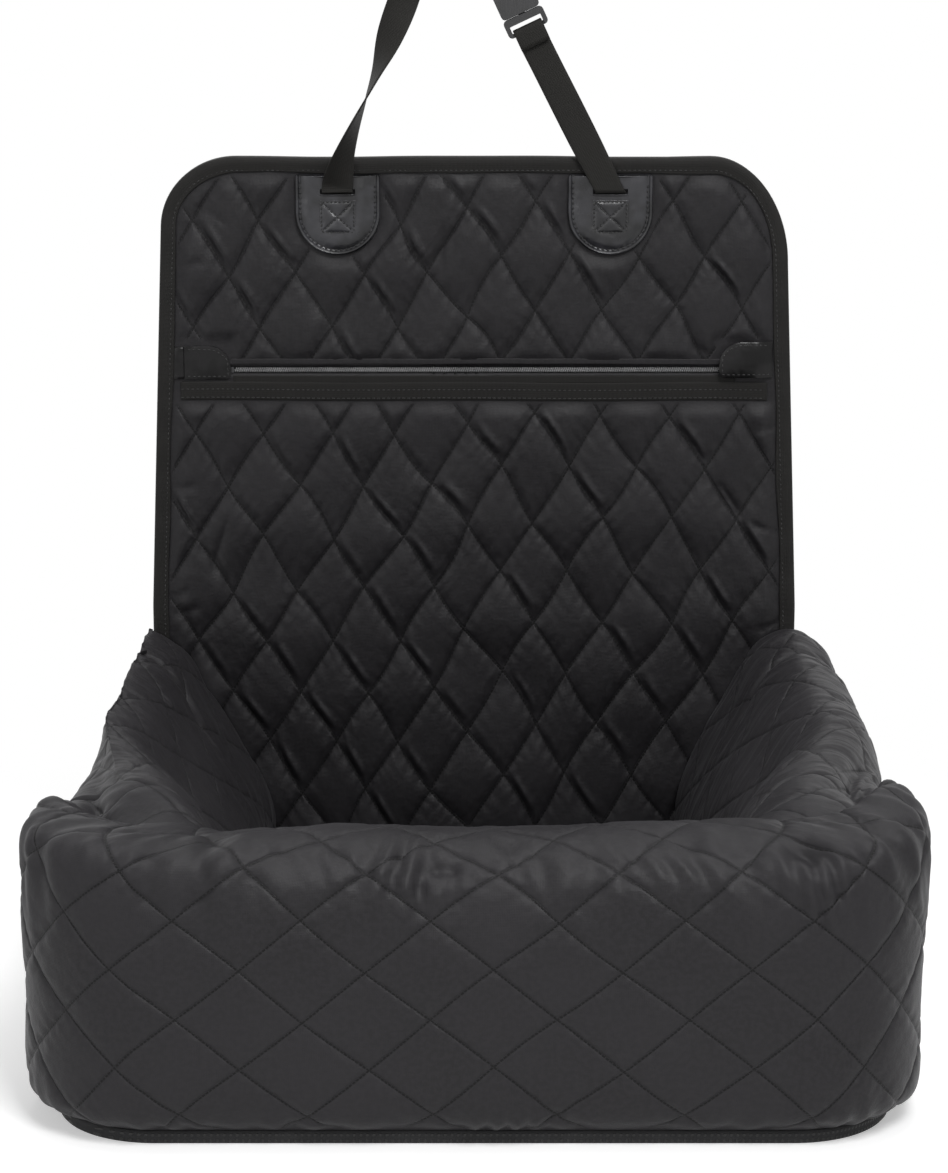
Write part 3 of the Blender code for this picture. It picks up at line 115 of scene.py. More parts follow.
BAND_TOP_Z = 0.4545
BAND_HEIGHT = 0.0160
BAND_HALF_LENGTH = 0.2450
BAND_LAYER = 0.0012
TAB_LAYER = 0.0012
LEFT_TAB_X = -0.2416
LEFT_TAB_WIDTH = 0.0390
LEFT_TAB_TOP_Z = 0.4840
LEFT_TAB_BOTTOM_Z = 0.4560
RIGHT_TAB_X = 0.249033
RIGHT_TAB_WIDTH = 0.0450
RIGHT_TAB_TOP_Z = 0.4880
RIGHT_TAB_BOTTOM_Z = 0.4580
RIGHT_TAB_LIFT = 0.0055
POCKET_HALF = 0.2100
POCKET_BOTTOM_Z = 0.3000
LINING_LAYER = 0.0012
PATCH_X = 0.1125
PATCH_WIDTH = 0.0700
PATCH_DROP = 0.0800
PATCH_THICKNESS = 0.0034
PATCH_RIM_HEIGHT = 0.0008
SLOT_DROP = 0.0275
SLOT_WIDTH = 0.0290
SLOT_HEIGHT = 0.0040
WEBBING_WIDTH = 0.0250
WEBBING_THICKNESS = 0.0015
ROOT_LENGTH = 0.0320
RUNNING_GAP = 0.0009
STRAP_PATCH_GAP = 0.0009
BUCKLE_X = 0.0446
BUCKLE_RISE = 0.1045
BUCKLE_LEAN = math.radians(25)
BAR_WIDTH = 0.0034
BAR_THICKNESS = 0.0024
BUCKLE_TAIL = 0.0140
WRAP_EASE = 0.0016
MALE_BODY_LENGTH = 0.0155
FEMALE_CAVITY_LENGTH = 0.0245
FEMALE_WEB = 0.0030
FEMALE_WINDOW_LENGTH = 0.0058

# The left strap's run: x, height over the slot, how far in front of the panel, half turns
LEFT_ROUTE = (
    (-0.1125, 0.0000, 0.0000, 0.00), (-0.1125, 0.0045, 0.0000, 0.00), (-0.1105, 0.0145, 0.0052, 0.12),
    (-0.1062, 0.0305, 0.0108, 0.27), (-0.0985, 0.0515, 0.0122, 0.39), (-0.0885, 0.0755, 0.0095, 0.50),
    (-0.0785, 0.0995, 0.0055, 0.62), (-0.0680, 0.1275, 0.0020, 0.84), (-0.0575, 0.1545, 0.0000, 1.00),
    (-0.0480, 0.1825, 0.0000, 1.10), (-0.0405, 0.2115, 0.0000, 1.36), (-0.0365, 0.2395, 0.0000, 1.50),
    (-0.0330, 0.2575, 0.0000, 1.50), (-0.0215, 0.2725, 0.0000, 1.50), (-0.0070, 0.2780, 0.0000, 1.50),
    (0.0070, 0.2725, 0.0000, 1.50), (0.0160, 0.2585, 0.0000, 1.50), (0.0188, 0.2405, 0.0000, 1.60),
)
ROUTE_END_HALF_TURNS = 2

# Sections of the bolsters, from the seam over the crown to the inner foot: shares of depth and height
FRONT_SECTION_SHARES = (
    (0.0, 0.0), (0.72, 0.05), (0.98, 0.17), (1.0, 0.45), (0.98, 0.68), (0.62, 0.87), (-0.08, 0.965),
    (-0.36, 1.0), (-0.68, 0.95), (-0.92, 0.80), (-1.0, 0.55), (-0.99, 0.25), (-0.97, 0.0),
)
CORNER_SECTION_SHARES = (
    (0.0, 0.0), (0.78, 0.05), (1.0, 0.17), (1.0, 0.45), (1.0, 0.72), (0.88, 0.92), (0.10, 0.995),
    (-0.30, 1.0), (-0.66, 0.95), (-0.92, 0.80), (-1.0, 0.55), (-0.99, 0.25), (-0.97, 0.0),
)
LEFT_SECTION_SHARES = (
    (0.0, 0.0), (0.62, 0.06), (0.92, 0.22), (1.0, 0.48), (1.0, 0.72), (0.86, 0.89), (0.40, 0.975),
    (0.0, 1.0), (-0.24, 0.93), (-0.46, 0.77), (-0.72, 0.58), (-0.93, 0.36), (-0.98, 0.0),
)
RIGHT_SECTION_SHARES = (
    (0.0, 0.0), (0.62, 0.06), (0.92, 0.22), (1.0, 0.48), (1.0, 0.74), (0.86, 0.89), (0.35, 0.975),
    (-0.10, 1.0), (-0.34, 0.93), (-0.54, 0.78), (-0.76, 0.60), (-0.93, 0.36), (-0.98, 0.0),
)
CORNER_START = (0.200, 0.285)
CORNER_END = (0.400, 0.470)

# Mesh steps, as counts
QUILT_STEPS = 32
SECTION_STEPS = 16
ROUTE_STEPS = 8
STRAP_STEPS = 40
WRAP_STEPS = 10
WEBBING_ROUND_STEPS = 3
WEBBING_FLAT_STEPS = 9
TRAY_FRONT_STEPS = 24
TRAY_BACK_STEPS = 8
EDGE_CORNER_STEPS = 24
EDGE_SMOOTHINGS = 3
REAR_STEPS = (120, 160)
LINING_STEPS = (80, 40)
BAND_STEPS = 200
GUARD_STEPS = 120
LIP_STEPS = 160
PATCH_CORNER_POINTS = 6
PATCH_SIDE_STEPS = 8
PATCH_ROUND_STEPS = 40
PILLOW_STEPS = 45
SLOT_LIP_STEPS = (12, 10)
TAB_STEPS = (40, 24)
TAB_STITCH_STEPS = 40
TAB_ROOT_STEPS = 13
ROOT_STEPS = 6

# Wandering fields: how their lengths and strengths vary
SMALLEST_LENGTH = 1e-12
SMALLEST_SQUARE = 1e-9
RIPPLE_WAVES = 7
RIPPLE_SCALE_SHARES = (0.7, 1.5)
FOLD_BEND_SHARE = 0.6
FOLD_LENGTH_SHARES = (4, 3, 6)
FOLD_STRENGTH_SHARES = (0.65, 0.35)
FOLD_SHIFT_SHARE = 3
FOLD_SPREAD_SHARES = (0.8, 4)
PUCKER_WANDER_SHARES = (6, 2.5)
PUCKER_START_SHARE = 4
LATTICE_END_SHARE = 0.4

# Bolster looks
QUILT_SINK = 0.0021
QUILT_REACH = 0.0035
SIDE_QUILT_SHARE = 0.5
SIDE_LATTICE_SHARE = 1 / 8
PUCKER_LENGTH = 0.0125
PUCKER_HEIGHT = 0.0005
PUCKER_REACH = 0.0070
FOOT_FADE = 0.022
FLOOR_TUCK = 0.012
LUMP_LENGTH = 0.130
LUMP_HEIGHT = 0.0024
WARP_LENGTH = 0.150
WARP_REACH = 0.0016
SEAM_PUCKER_LENGTH = 0.027
SEAM_PUCKER_HEIGHT = 0.0022
SEAM_PUCKER_REACH = 0.020
END_ROUNDING = 0.0030

# Folds over the front bolster's crown: places along it in metres, places round its section as shares
CROWN_SHARE = 0.40
CROWN_SPREAD_SHARE = 0.075
CROWN_FOLD_LENGTH = 0.034
CROWN_FOLD_HEIGHT = 0.0024
TOP_FOLD_LENGTH = 0.020
TOP_FOLD_HEIGHT = 0.0007
TOP_FOLD_SLANT_SHARE = 0.3
SAG_SHARE = 0.48
SAG_SPREAD_SHARE = 0.15
TOP_SAG = 0.0085
TOP_SAG_REACH = 0.125
# Dimples: place, share, reach as length and share, depth
FRONT_DIMPLES = (
    (-0.021, 0.405, (0.010, 0.020), 0.0090), (-0.034, 0.375, (0.006, 0.030), 0.0030),
    (0.226, 0.420, (0.012, 0.022), 0.0120), (0.024, 0.465, (0.010, 0.030), 0.0040),
    (0.150, 0.455, (0.012, 0.030), 0.0025), (-0.190, 0.450, (0.010, 0.030), 0.0030),
)
# Pleats: place, upper and lower share, reach, length of a wave, height
PLEATS = (
    (0.230, 0.430, 0.280, 0.026, 0.0130, 0.0020), (-0.022, 0.430, 0.340, 0.018, 0.0110, 0.0014),
    (0.150, 0.450, 0.370, 0.040, 0.0240, 0.0012), (-0.150, 0.450, 0.380, 0.050, 0.0260, 0.0009),
)
PLEAT_FADE_SHARES = (0.03, 0.07)
CREST_SPAN = (0.110, 0.465)
CREST_FADE = 0.060
CREST_RISE = 0.0030
CREST_RISE_SHARES = (0.410, 0.030)
CREST_HOLLOW = 0.0090
CREST_HOLLOW_SHARES = (0.530, 0.070)

# The mitred corners, with the left value before the right one
MITRE_AWAY = 0.388
MITRE_SHARE = 0.47
MITRE_SLOPES = (0.80, 1.55)
MITRE_DEPTHS = (0.0060, 0.0120)
MITRE_WIDTH = 0.0110
MITRE_TOP_SHARES = (0.355, 0.430)
MITRE_INNER_SHARES = (0.80, 0.20)
DROPS = (0.0410, 0.0240)
DROP_REACHES = (0.075, 0.07)
DROP_START = 0.034
CAP_RISES = (0, 0.0110)
CAP_PLACE = 0.390
CAP_SHARE = 0.450
CAP_REACH = 0.070
CAP_SPREAD_SHARE = 0.070
CAP_END_SHARE = 0.5

# Fine wrinkles of the side bolsters, by side: -1 is the left one
WRINKLE_LENGTH = 0.0185
WRINKLE_HEIGHT = 0.0010
WRINKLE_SEED = 41
WRINKLE_SLANT_SHARES = {-1: 1.10, 1: 0.30}
WRINKLE_HEIGHT_SHARES = {-1: 0.85, 1: 1.0}
WRINKLE_CALM_SHARES = (0.45, 0.55)
WRINKLE_INNER_SHARES = (0.66, 0.16)
WRINKLE_FAN_SHARES = (0.35, 0.5)
WRINKLE_BEND_SHARE = 0.35
SECOND_WRINKLE_SHARES = (0.7, 0.4, 1.8, 0.4)
SECOND_WRINKLE_SEED = 7
WRINKLE_POWER = 1.3
WRINKLE_BACK_SHARES = (0.7, 0.5)
WRINKLE_BACK_REACH = 0.06
TUCK_BACK = 0.055
TUCK_SLANT = 0.10
TUCK_DEPTH = 0.0060
TUCK_WIDTH = 0.0060
TUCK_MIDDLE_SHARE = 0.45
TUCK_INNER_SHARES = (0.74, 0.1)
TUCK_OUTER_SHARES = (0.36, 0.06)

# Floor cushion and base: each level of the base as an inset and a height
BASE_LEVELS = (
    (0.0012, 0.0), (0.0, 0.0014), (0.0, 0.0050), (-0.0006, 0.0075), (0.0, 0.0098), (0.0030, 0.0100),
)

# Panel looks
QUILT_LAYER = 0.0012
PANEL_SINK_REACH = 0.0060
PANEL_PUCKER_HEIGHT = 0.0006
PANEL_EDGE_HIDDEN = 0.0030
PANEL_FULLNESS_SHARE = 0.72
PANEL_WAVE = (0.0008, 0.09)
PANEL_LOWEST = -0.0004
PANEL_WARP = 0.0026
PANEL_WARP_LENGTH = 0.11
PANEL_WARP_FADE = 0.05
CALM_START = 0.002
EDGE_CALM = 0.016
PATCH_CALM = 0.014
TAB_CALM = 0.010
EDGE_PUCKER_LENGTH = 0.024
EDGE_PUCKER_HEIGHT = 0.0009
EDGE_PUCKER_REACH = 0.020
EDGE_PUCKER_START = 0.006
EDGE_PUCKER_SHARE = 0.6
TUNNEL_AWAY = 0.0062
TUNNEL_WIDTH = 0.0030
TUNNEL_HEIGHT = 0.0024
TUNNEL_DEPTH = 0.0020
TUNNEL_GROOVE_SHARES = (0.35, 0.5)
TUNNEL_CHANCE_SHARES = (0.25, 0.5)
SCATTER_TURNS = (12.9898, 78.233)
SCATTER_SPREAD = 43758.5453
LATTICE_SLIP = 0.0160
SLIP_FROM = -0.050
SLIP_TO = 0.018
SLOT_LEFT_REACH = 0.004
SLOT_RIGHT_REACH = 0.006
TOP_WAVE_HEIGHT = 0.0012
TOP_WAVE_LENGTH = 0.150
TOP_WAVE_REACH = 0.05
BEND_HALF_HEIGHT = 0.012
# Creases: x and z of both ends, depth, width
PANEL_CREASES = (
    (-0.251, 0.364, -0.234, 0.365, 0.0030, 0.0020), (-0.257, 0.268, -0.243, 0.275, 0.0032, 0.0022),
    (-0.253, 0.255, -0.234, 0.261, 0.0030, 0.0022), (-0.243, 0.550, -0.223, 0.555, 0.0020, 0.0024),
    (-0.209, 0.333, -0.221, 0.293, 0.0030, 0.0034), (-0.173, 0.403, -0.159, 0.383, 0.0026, 0.0020),
    (0.237, 0.413, 0.256, 0.416, 0.0030, 0.0020), (0.233, 0.333, 0.258, 0.325, 0.0032, 0.0022),
    (0.208, 0.366, 0.225, 0.340, 0.0030, 0.0022), (0.172, 0.411, 0.192, 0.390, 0.0026, 0.0020),
    (0.238, 0.241, 0.262, 0.249, 0.0030, 0.0022), (0.236, 0.570, 0.251, 0.561, 0.0026, 0.0022),
    (0.142, 0.473, 0.159, 0.475, 0.0024, 0.0030), (0.167, 0.472, 0.178, 0.467, 0.0024, 0.0026),
    (0.183, 0.486, 0.202, 0.471, 0.0026, 0.0030), (-0.026, 0.582, -0.027, 0.540, 0.0030, 0.0026),
    (-0.016, 0.572, -0.018, 0.548, 0.0020, 0.0022), (-0.225, 0.600, -0.205, 0.585, 0.0018, 0.0028),
)
CREASE_END_SHARES = (0.35, 0.65)

# Binding, rear fabric and lining
BINDING_STEP = 0.004
BINDING_FRONT_POINTS = 6
# The folded tape's section: a share of its width and more, the face it lies at, and how far behind that
BINDING_SECTION = (
    (1, 0, "front", 0.0002), (1, -0.0006, "front", 0), (0.80, 0, "front", 0.0002), (0.5, 0, "front", -0.0007),
    (0.22, 0, "front", -0.00028), (0, 0.0009, "front", 0.0006), (0, 0, "front", 0.0030), (0, 0, "middle", 0),
    (0, 0, "rear", -0.0030), (0, 0.0009, "rear", -0.0006), (0.3, 0, "rear", 0), (0.8, 0, "rear", -0.0003),
    (1, 0, "rear", -0.0001), (1, 0, "rear", -0.0012), (0, 0.0024, "rear", -0.0012), (0, 0.0018, "middle", 0),
    (0, 0.0024, "front", 0.0012), (1, 0, "front", 0.0012),
)
BINDING_WAVE = (0.0005, 0.05)
BINDING_WIDTH_WAVE_SHARE = 0.05
BINDING_WIDTH_WAVE_LENGTH = 0.09
BINDING_STITCH_SHARE = 0.80
BINDING_STITCH_RISE = 0.00005
REAR_MARGIN = 0.003
REAR_SINK = 0.0006
REAR_WAVES = ((0.0006, 0.09), (0.0003, 0.03))
REAR_LIMITS = (-0.0010, 0.0003)
REAR_EDGE_HIDDEN = 0.004
LINING_WAVE = (0.0003, 0.05)

# Zip, band and the lip over the zip
ZIP_TAPE_START = 0.0029
TOOTH_PITCH = 0.00155
TOOTH_SIDES = 8
TOOTH_SETBACK = 0.0006
TOOTH_PHASE_SHARES = {1: 0.75, -1: 0.25}
TOOTH_LEAN_SHARE = 0.25
# A tooth's rings: offset from the zip's middle, radius, how far behind the face
TOOTH_RINGS = ((-0.00035, 0.00040, 0.0006), (0.0009, 0.00056, 0), (0.0022, 0.00052, 0.0008))
GUARD_TOP_Z = 0.4594
GUARD_LEFT_X = -0.2010
GUARD_RIGHT_X = 0.2180
GUARD_OVERLAP = 0.0012
GUARD_SETBACK = 0.0004
BAND_WAVE = 0.0007
BAND_WAVE_LENGTH = 0.16
# A flat tape's section: share of its height, and how far its face draws back, as a share of its soft edge
TAPE_SECTION_SHARES = ((0.0, 1), (0.03, 0), (0.16, 0.5), (0.5, -1), (0.84, 0.5), (0.97, 0), (1.0, 1))
BAND_STITCH_RISES = {"lower": 0.0020, "upper": 0.0090}
LIP_HEIGHT = 0.0046
LIP_RISE = 0.0050
LIP_WAVE_LENGTH = 0.12
LIP_FRONT_SHARE = 1 / 3
BAND_STITCH_FRONT_SHARE = 1 / 8
SOFT_EDGE_SHARE = 1 / 4

# Patches and tabs
PATCH_CORNER = 0.0030
PATCH_TOP_INSET_SHARE = 0.12
PATCH_STITCH_INSET = 0.0042
PATCH_STITCH_SETBACK = 0.0009
# A patch's rings from its back edge inwards: inset, and height over its face
PATCH_RIM_LEVELS = (
    (0, -0.0008), (0.0003, 0), (0.0008, 0.0008), (0.0015, 0.0011), (0.0022, 0.0008), (0.0028, 0),
    (0.0034, -0.0008), (0.0042, -0.0011), (0.0050, -0.0008), (0.0065, 0), (0.0090, 0.0008),
    (0.0120, 0.0011), (0.0150, 0.0008), (0.0180, 0.0001), (0.0200, 0),
)
CUT_REACH = 0.01
BOX_LOW = 0.0335
BOX_HIGH = 0.0085
BOX_HALF_WIDTH = 0.0135
BOX_STITCH_STEP = 0.002
BOX_STITCH_PITCH = 0.0034
BOX_STITCH_RISE = 0.0003
BOX_HEIGHT = 0.0013
BOX_REACH = 0.0022
BOX_MARGIN_SHARE = 0.06
BOX_FADE_SHARE = 0.05
BOX_OUTSIDE_SHARE = 0.35
BOX_RISE = 0.0001
BOX_DEPTH = 0.0012
SLOT_LIP_RADIUS = 0.0009
SLOT_LIP_RISE = 0.0003
SLOT_LIP_TAPER_SHARE = 0.6
SLOT_LIP_POWER = 6
SHARP_ANGLE = math.radians(40)
TAB_UPPER_CORNER = 0.0200
TAB_LOWER_CORNER = 0.0040
TAB_TRIM_SHARE = 0.80
TAB_RISE_SHARE = 0.35
TAB_ROW_SHARES = (0.9, 0.1)
TAB_DOME = 0.0009
TAB_DOME_POWER = 4
TAB_DOME_SHARE = 1 / 6
TAB_FLAT_DOME_SHARE = 0.5
TAB_BEVEL = 0.0004
TAB_BEVEL_ANGLE = math.radians(50)
TAB_STITCH_INSET = 0.0028
TAB_STITCH_START_SHARE = 0.06
TAB_STITCH_STEP = 0.002
TAB_STITCH_RISE = 0.0001
TAB_ROOT_INSET = 0.0005
TAB_ROOT_RISE = 0.0003

# Straps
WEBBING_WAVE_SHARE = 0.012
WEBBING_WAVE_LENGTH = 0.06
STRAP_ARRIVE_SHARES = (0.35, 0.7)
WRAP_TAIL_SHARES = (0.25, 0.5, 0.75, 1.0)
ROOT_BEND = ((0.004, 0), (0.0012, 0.0004))

# Stitches
THREAD_RADIUS = 0.00042
PATCH_THREAD_RADIUS = 0.00062
STITCH_LENGTH = 0.0030
STITCH_PITCH = 0.0042
STITCH_SIDES = 5
STITCH_SINK_SHARES = (-1.2, 0.1, 0.6, 0.1, -1.2)
STITCH_WIDTH_SHARES = (0.45, 0.95, 1.0, 0.95, 0.45)

# Colours
COLOURS = {
    "bolster_cloth": (0.0150, 0.0141, 0.0158),
    "side_cloth": (0.0160, 0.0150, 0.0166),
    # The panel's cloth is the bolsters' fabric, set darker as painted shade
    "panel_cloth_painted_shade": (0.0118, 0.0111, 0.0124),
    "binding_tape": (0.0085, 0.0080, 0.0074),
    "webbing_weave": (0.0100, 0.0095, 0.0083),
    "pu_leather": (0.0130, 0.0130, 0.0150),
    "tab_leather": (0.0048, 0.0046, 0.0048),
    "rear_cloth": (0.026, 0.025, 0.026),
    "lining_cloth": (0.020, 0.020, 0.021),
    "grip_cloth": (0.014, 0.014, 0.015),
    "grip_dots": (0.006, 0.006, 0.006),
    # The zip coil's plastic, lightened as a painted highlight on its teeth
    "zip_coil_plastic_painted_highlight": (0.200, 0.200, 0.202),
    "zip_metal_paint": (0.060, 0.060, 0.062),
    "buckle_plastic": (0.022, 0.022, 0.023),
    "board_fibre": (0.30, 0.29, 0.27),
    "sewing_thread": (0.0035, 0.0035, 0.0038),
}

# Cloth looks: noises are scale, detail and roughness, reliefs are distance and strength
WAVE_TURNS = math.tau / 20
COLOUR_SPAN = (0.3, 0.7)
QUILT_SHADER = {
    "Roughness": 0.46,
    "Sheen Weight": 0.03,
    "Sheen Roughness": 0.40,
    "Sheen Tint": (0.80, 0.80, 0.84, 1.0),
    "Specular IOR Level": 0.22,
}
QUILT_NOISES = ((9.0, 3.0), (260.0, 2.0), (42.0, 4.0, 0.55))
QUILT_TINT_SHARES = (0.82, 1.14)
QUILT_FLECK_SHARE = 1.45
QUILT_FLECK_SPAN = (0.35, 0.65, 0.0, 0.5)
QUILT_ROUGHNESS = (0.25, 0.75, 0.44, 0.56)
QUILT_WEAVE = (0.0011, 0.30)
CRINKLE_RELIEF = (0.0022, 0.55)
GATHER_RELIEF = (0.00010, 0.5)
GROOVE_RELIEF = (0.0005, 0.9)
THREAD_RELIEF = (0.0005, 1.0)
# Painted shade in the stitch grooves: how strongly, and the share of the cloth's colour it darkens to
GROOVE_SHARE = 0.16
GROOVE_PAINTED_SHADE_SHARE = 0.45
THREAD_TINT_SHARE = 0.10
WRINKLE_LAYERS = ((0.30, 95.0), (-0.25, 60.0))
WRINKLE_NOISE = (2.0, 0.45)
WRINKLE_STRETCH_SHARE = 0.11
WRINKLE_RELIEF = 0.0030
STITCH_SPACING = 0.0030
GATHER_SPACING = 0.0060
GROOVE_SPAN = (0.0, 0.0020, 1.0, 0.0)
THREAD_SPAN = (0.0004, 0.0008, 1.0, 0.0)
GATHER_SPAN = (0.0004, 0.0060, 1.0, 0.0)
DASH_SPAN = (0.10, 0.18)
STITCHED_SPAN = (0.05, 0.30)
TAPE_SHADER = {
    "Roughness": 0.66,
    "Sheen Weight": 0.04,
    "Sheen Roughness": 0.5,
    "Specular IOR Level": 0.20,
}
TAPE_RIB = 0.0011
TAPE_YARN_SHARE = 1.7
TAPE_DISTORTIONS = (0.4, 0.6)
TAPE_NOISE = (30.0, 3.0)
TAPE_RIB_SPAN = (0.1, 0.9)
TAPE_TINT_SHARES = (0.62, 1.25)
TAPE_FLECK_SHARE = 1.35
TAPE_FLECK_SPAN = (0.3, 0.7, 0.0, 0.5)
TAPE_RIB_RELIEF_SHARES = (0.18, 0.6)
TAPE_YARN_RELIEF_SHARES = (0.12, 0.4)
TAPE_RELIEF = (0.0008, 0.4)
PLAIN_SHADER = {"Roughness": 0.85, "Sheen Weight": 0.10}
PLAIN_WEAVE_STRENGTH = 0.6
PLAIN_WEAVES = {"rear_cloth": 0.0009, "lining_cloth": 0.0006}
PLAIN_NOISES = ((14.0, 4.0), (30.0, 4.0))
PLAIN_TINT_SHARES = (0.70, 1.20)
PLAIN_FLECK_SHARE = 1.30
PLAIN_FLECK_SPAN = (0.3, 0.7, 0.0, 0.6)
PLAIN_RELIEF = (0.0020, 0.45)
WEAVE_RELIEF_SHARE = 0.25
GRIP_SHADER = {"Roughness": 0.8}
GRIP_SPACING = 0.009
GRIP_MIDDLE_SHARE = 0.25
GRIP_DOT_SPAN = (0.10, 0.16, 1.0, 0.0)
GRIP_WEAVE = (0.0010, 0.6)
GRIP_TINT_SHARES = (0.75, 1.20)
GRIP_ROUGHNESS = (0.0, 1.0, 0.85, 0.50)
GRIP_RELIEF = (0.0009, 1.0)

# Leather, hard and thread looks
LEATHER_SHADER = {"Roughness": 0.30, "Coat Roughness": 0.22}
LEATHER_GLOSSES = {"pu_leather": 1.0, "tab_leather": 0.45}
LEATHER_COAT = 0.15
LEATHER_SPECULAR = 0.40
LEATHER_CELLS = 900.0
LEATHER_NOISES = ((24.0, 3.0), (420.0, 2.0), (46.0, 2.0), (70.0, 2.0))
# Painted highlights and shade on the PU: the span of its noise, and the shares of its colour it ranges between
LEATHER_PAINTED_LIGHT_SPAN = (0.38, 0.64)
LEATHER_PAINTED_LIGHT_SHARES = (0.50, 2.10)
LEATHER_FLECK_SHARE = 1.5
LEATHER_FLECK_SPAN = (0.4, 0.6, 0.0, 0.20)
LEATHER_ROUGHNESS = (0.2, 0.8, 0.24, 0.38)
LEATHER_RELIEFS = ((0.00010, 0.35), (0.0060, 0.70), (0.0016, 0.50))
# Hard looks: roughness, metallic, grain, coat
HARD_LOOKS = {
    "zip_coil_plastic_painted_highlight": (0.28, 0.0, 700.0, 0.0),
    "zip_metal_paint": (0.32, 0.85, 700.0, 0.0),
    "buckle_plastic": (0.30, 0.0, 500.0, 0.15),
    "board_fibre": (0.85, 0.0, 700.0, 0.0),
}
HARD_NOISES = (2.0, (60.0, 3.0), (1.0, 2.0))
SCRATCH_STRETCH = (900.0, 900.0, 40.0)
HARD_TINT_SHARES = (0.85, 1.20)
HARD_ROUGHNESS_SHARES = (0.85, 1.25)
HARD_SCRATCH_SPAN = (0.35, 0.65)
HARD_RELIEFS = ((0.00008, 0.5), (0.0004, 0.25))
THREAD_SHADER = {"Roughness": 0.55, "Sheen Weight": 0.2}
THREAD_TWIST = (2400.0, 1.0)
THREAD_TINT_SHARES = (0.6, 1.4)
THREAD_TWIST_RELIEF = (0.00015, 0.8)
CAD_BEVEL_ANGLE = math.radians(35)
CAD_BEVEL_STEPS = 3
METAL_BEVEL = 0.0002
BUCKLE_BEVEL = 0.0005

# Camera, floor and light
CAMERA_Y = -2.27
CAMERA_Z = 0.82
CAMERA_DOWN = math.radians(12)
CAMERA_LENS = 94.2
SENSOR_SIZE = 36.0
FLOOR_SIZE = 24.0
FLOOR_SHADE = 0.88
FLOOR_ROUGHNESS = 0.9
FLOOR_SPECULAR = 0.1
FLOOR_LIFT = 0.38
FLOOR_FADE = (0.42, 0.85)
WHITE = (1, 1, 1, 1)
WORLD_LIGHT = 0.32
LIGHT_TARGET = (0, 0, 0.25)
# Lamps: name, place, size, power
LAMPS = (
    ("key", (0.7, -1.9, 2.5), 1.0, 54.0),
    ("fill", (-1.6, -2.1, 1.3), 1.4, 9.0),
    ("top", (0.1, 0.2, 2.7), 1.4, 20.0),
)

# Worked out from the sizes above
BACK_Y = OVERALL_DEPTH / 2
FACE_Y = BACK_Y - PANEL_THICKNESS
SEAM_FRONT_Y = BOLSTER_BULGE - OVERALL_DEPTH / 2
SEAM_HALF_FRONT = OVERALL_WIDTH / 2 - BOLSTER_BULGE
PANEL_HALF_TOP = OVERALL_WIDTH / 2 - PANEL_TOP_SETBACK
PANEL_HALF_FOLD = OVERALL_WIDTH / 2 - PANEL_FOLD_SETBACK
SEAM_HALF_BACK = PANEL_HALF_FOLD
BED_FLOOR_Z = TRAY_HEIGHT + TOUCH_GAP
BED_BACK_Y = FACE_Y - PANEL_PUFF - TOUCH_GAP
TAPE_FRONT_Y = FACE_Y - TOUCH_GAP - BINDING_TAPE
PATCH_BOTTOM_Z = PANEL_TOP_Z - PATCH_DROP
SLOT_Z = PANEL_TOP_Z - SLOT_DROP
BUCKLE_Z = PANEL_TOP_Z + BUCKLE_RISE
STRAP_Y = FACE_Y - TOUCH_GAP - PATCH_THICKNESS - PATCH_RIM_HEIGHT - STRAP_PATCH_GAP - WEBBING_THICKNESS / 2
QUARTER = math.pi / 2
SIDES = (("left", -1), ("right", 1))


# Curves and fields
def smooth_step(value):
    value = np.clip(value, 0, 1)
    return value * value * (3 - 2 * value)


def rise(value, start, reach):
    """Zero up to start and one a reach further on, or the other way round where reach is negative."""
    return smooth_step((value - start) / reach)


def bell(value, centre, reach):
    """One at a centre, falling off on both sides."""
    return np.exp(-(((value - centre) / reach) ** 2))


def curve_through(points, steps):
    """A smooth Catmull-Rom line through points of any dimension, with the ends kept."""
    points = np.array(points, float)
    padded = np.vstack([points[:1], points, points[-1:]])
    t = (np.arange(steps) / steps)[:, None]
    weights = ((-t + 2 * t**2 - t**3) / 2, (2 - 5 * t**2 + 3 * t**3) / 2)
    weights += ((t + 4 * t**2 - 3 * t**3) / 2, (t**3 - t**2) / 2)
    pieces = []
    for index in range(len(points) - 1):
        near = padded[index : index + 4]
        pieces.append(sum(weight * point for weight, point in zip(weights, near)))
    return np.vstack([*pieces, points[-1:]])


def arc(centre, radius_x, radius_z, start, end, steps):
    angles = np.linspace(start, end, steps + 1)
    return [(centre[0] + radius_x * math.cos(a), centre[1] + radius_z * math.sin(a)) for a in angles]


def run_lengths(path):
    """The distance run along a path up to each of its points."""
    return np.concatenate([[0], np.cumsum(np.linalg.norm(np.diff(path, axis=0), axis=1))])


def points_at(at, lengths, path):
    """Points of a path at distances along it."""
    return np.stack([np.interp(at, lengths, path[:, axis]) for axis in range(path.shape[1])], 1)


def resampled(path, step):
    path = np.asarray(path, float)
    lengths = run_lengths(path)
    return points_at(np.linspace(0, lengths[-1], max(2, round(lengths[-1] / step))), lengths, path)


def ripple(a, b, seed, length):
    """A smooth field over two coordinates, of about the given wave length, from about -1 to 1."""
    random = np.random.default_rng(seed)
    total = np.zeros(np.broadcast(a, b).shape)
    for _ in range(RIPPLE_WAVES):
        turn, phase = random.uniform(0, math.tau, 2)
        scale = length * random.uniform(*RIPPLE_SCALE_SHARES)
        total += np.sin(math.tau * (a * math.cos(turn) + b * math.sin(turn)) / scale + phase)
    return total / math.sqrt(RIPPLE_WAVES)


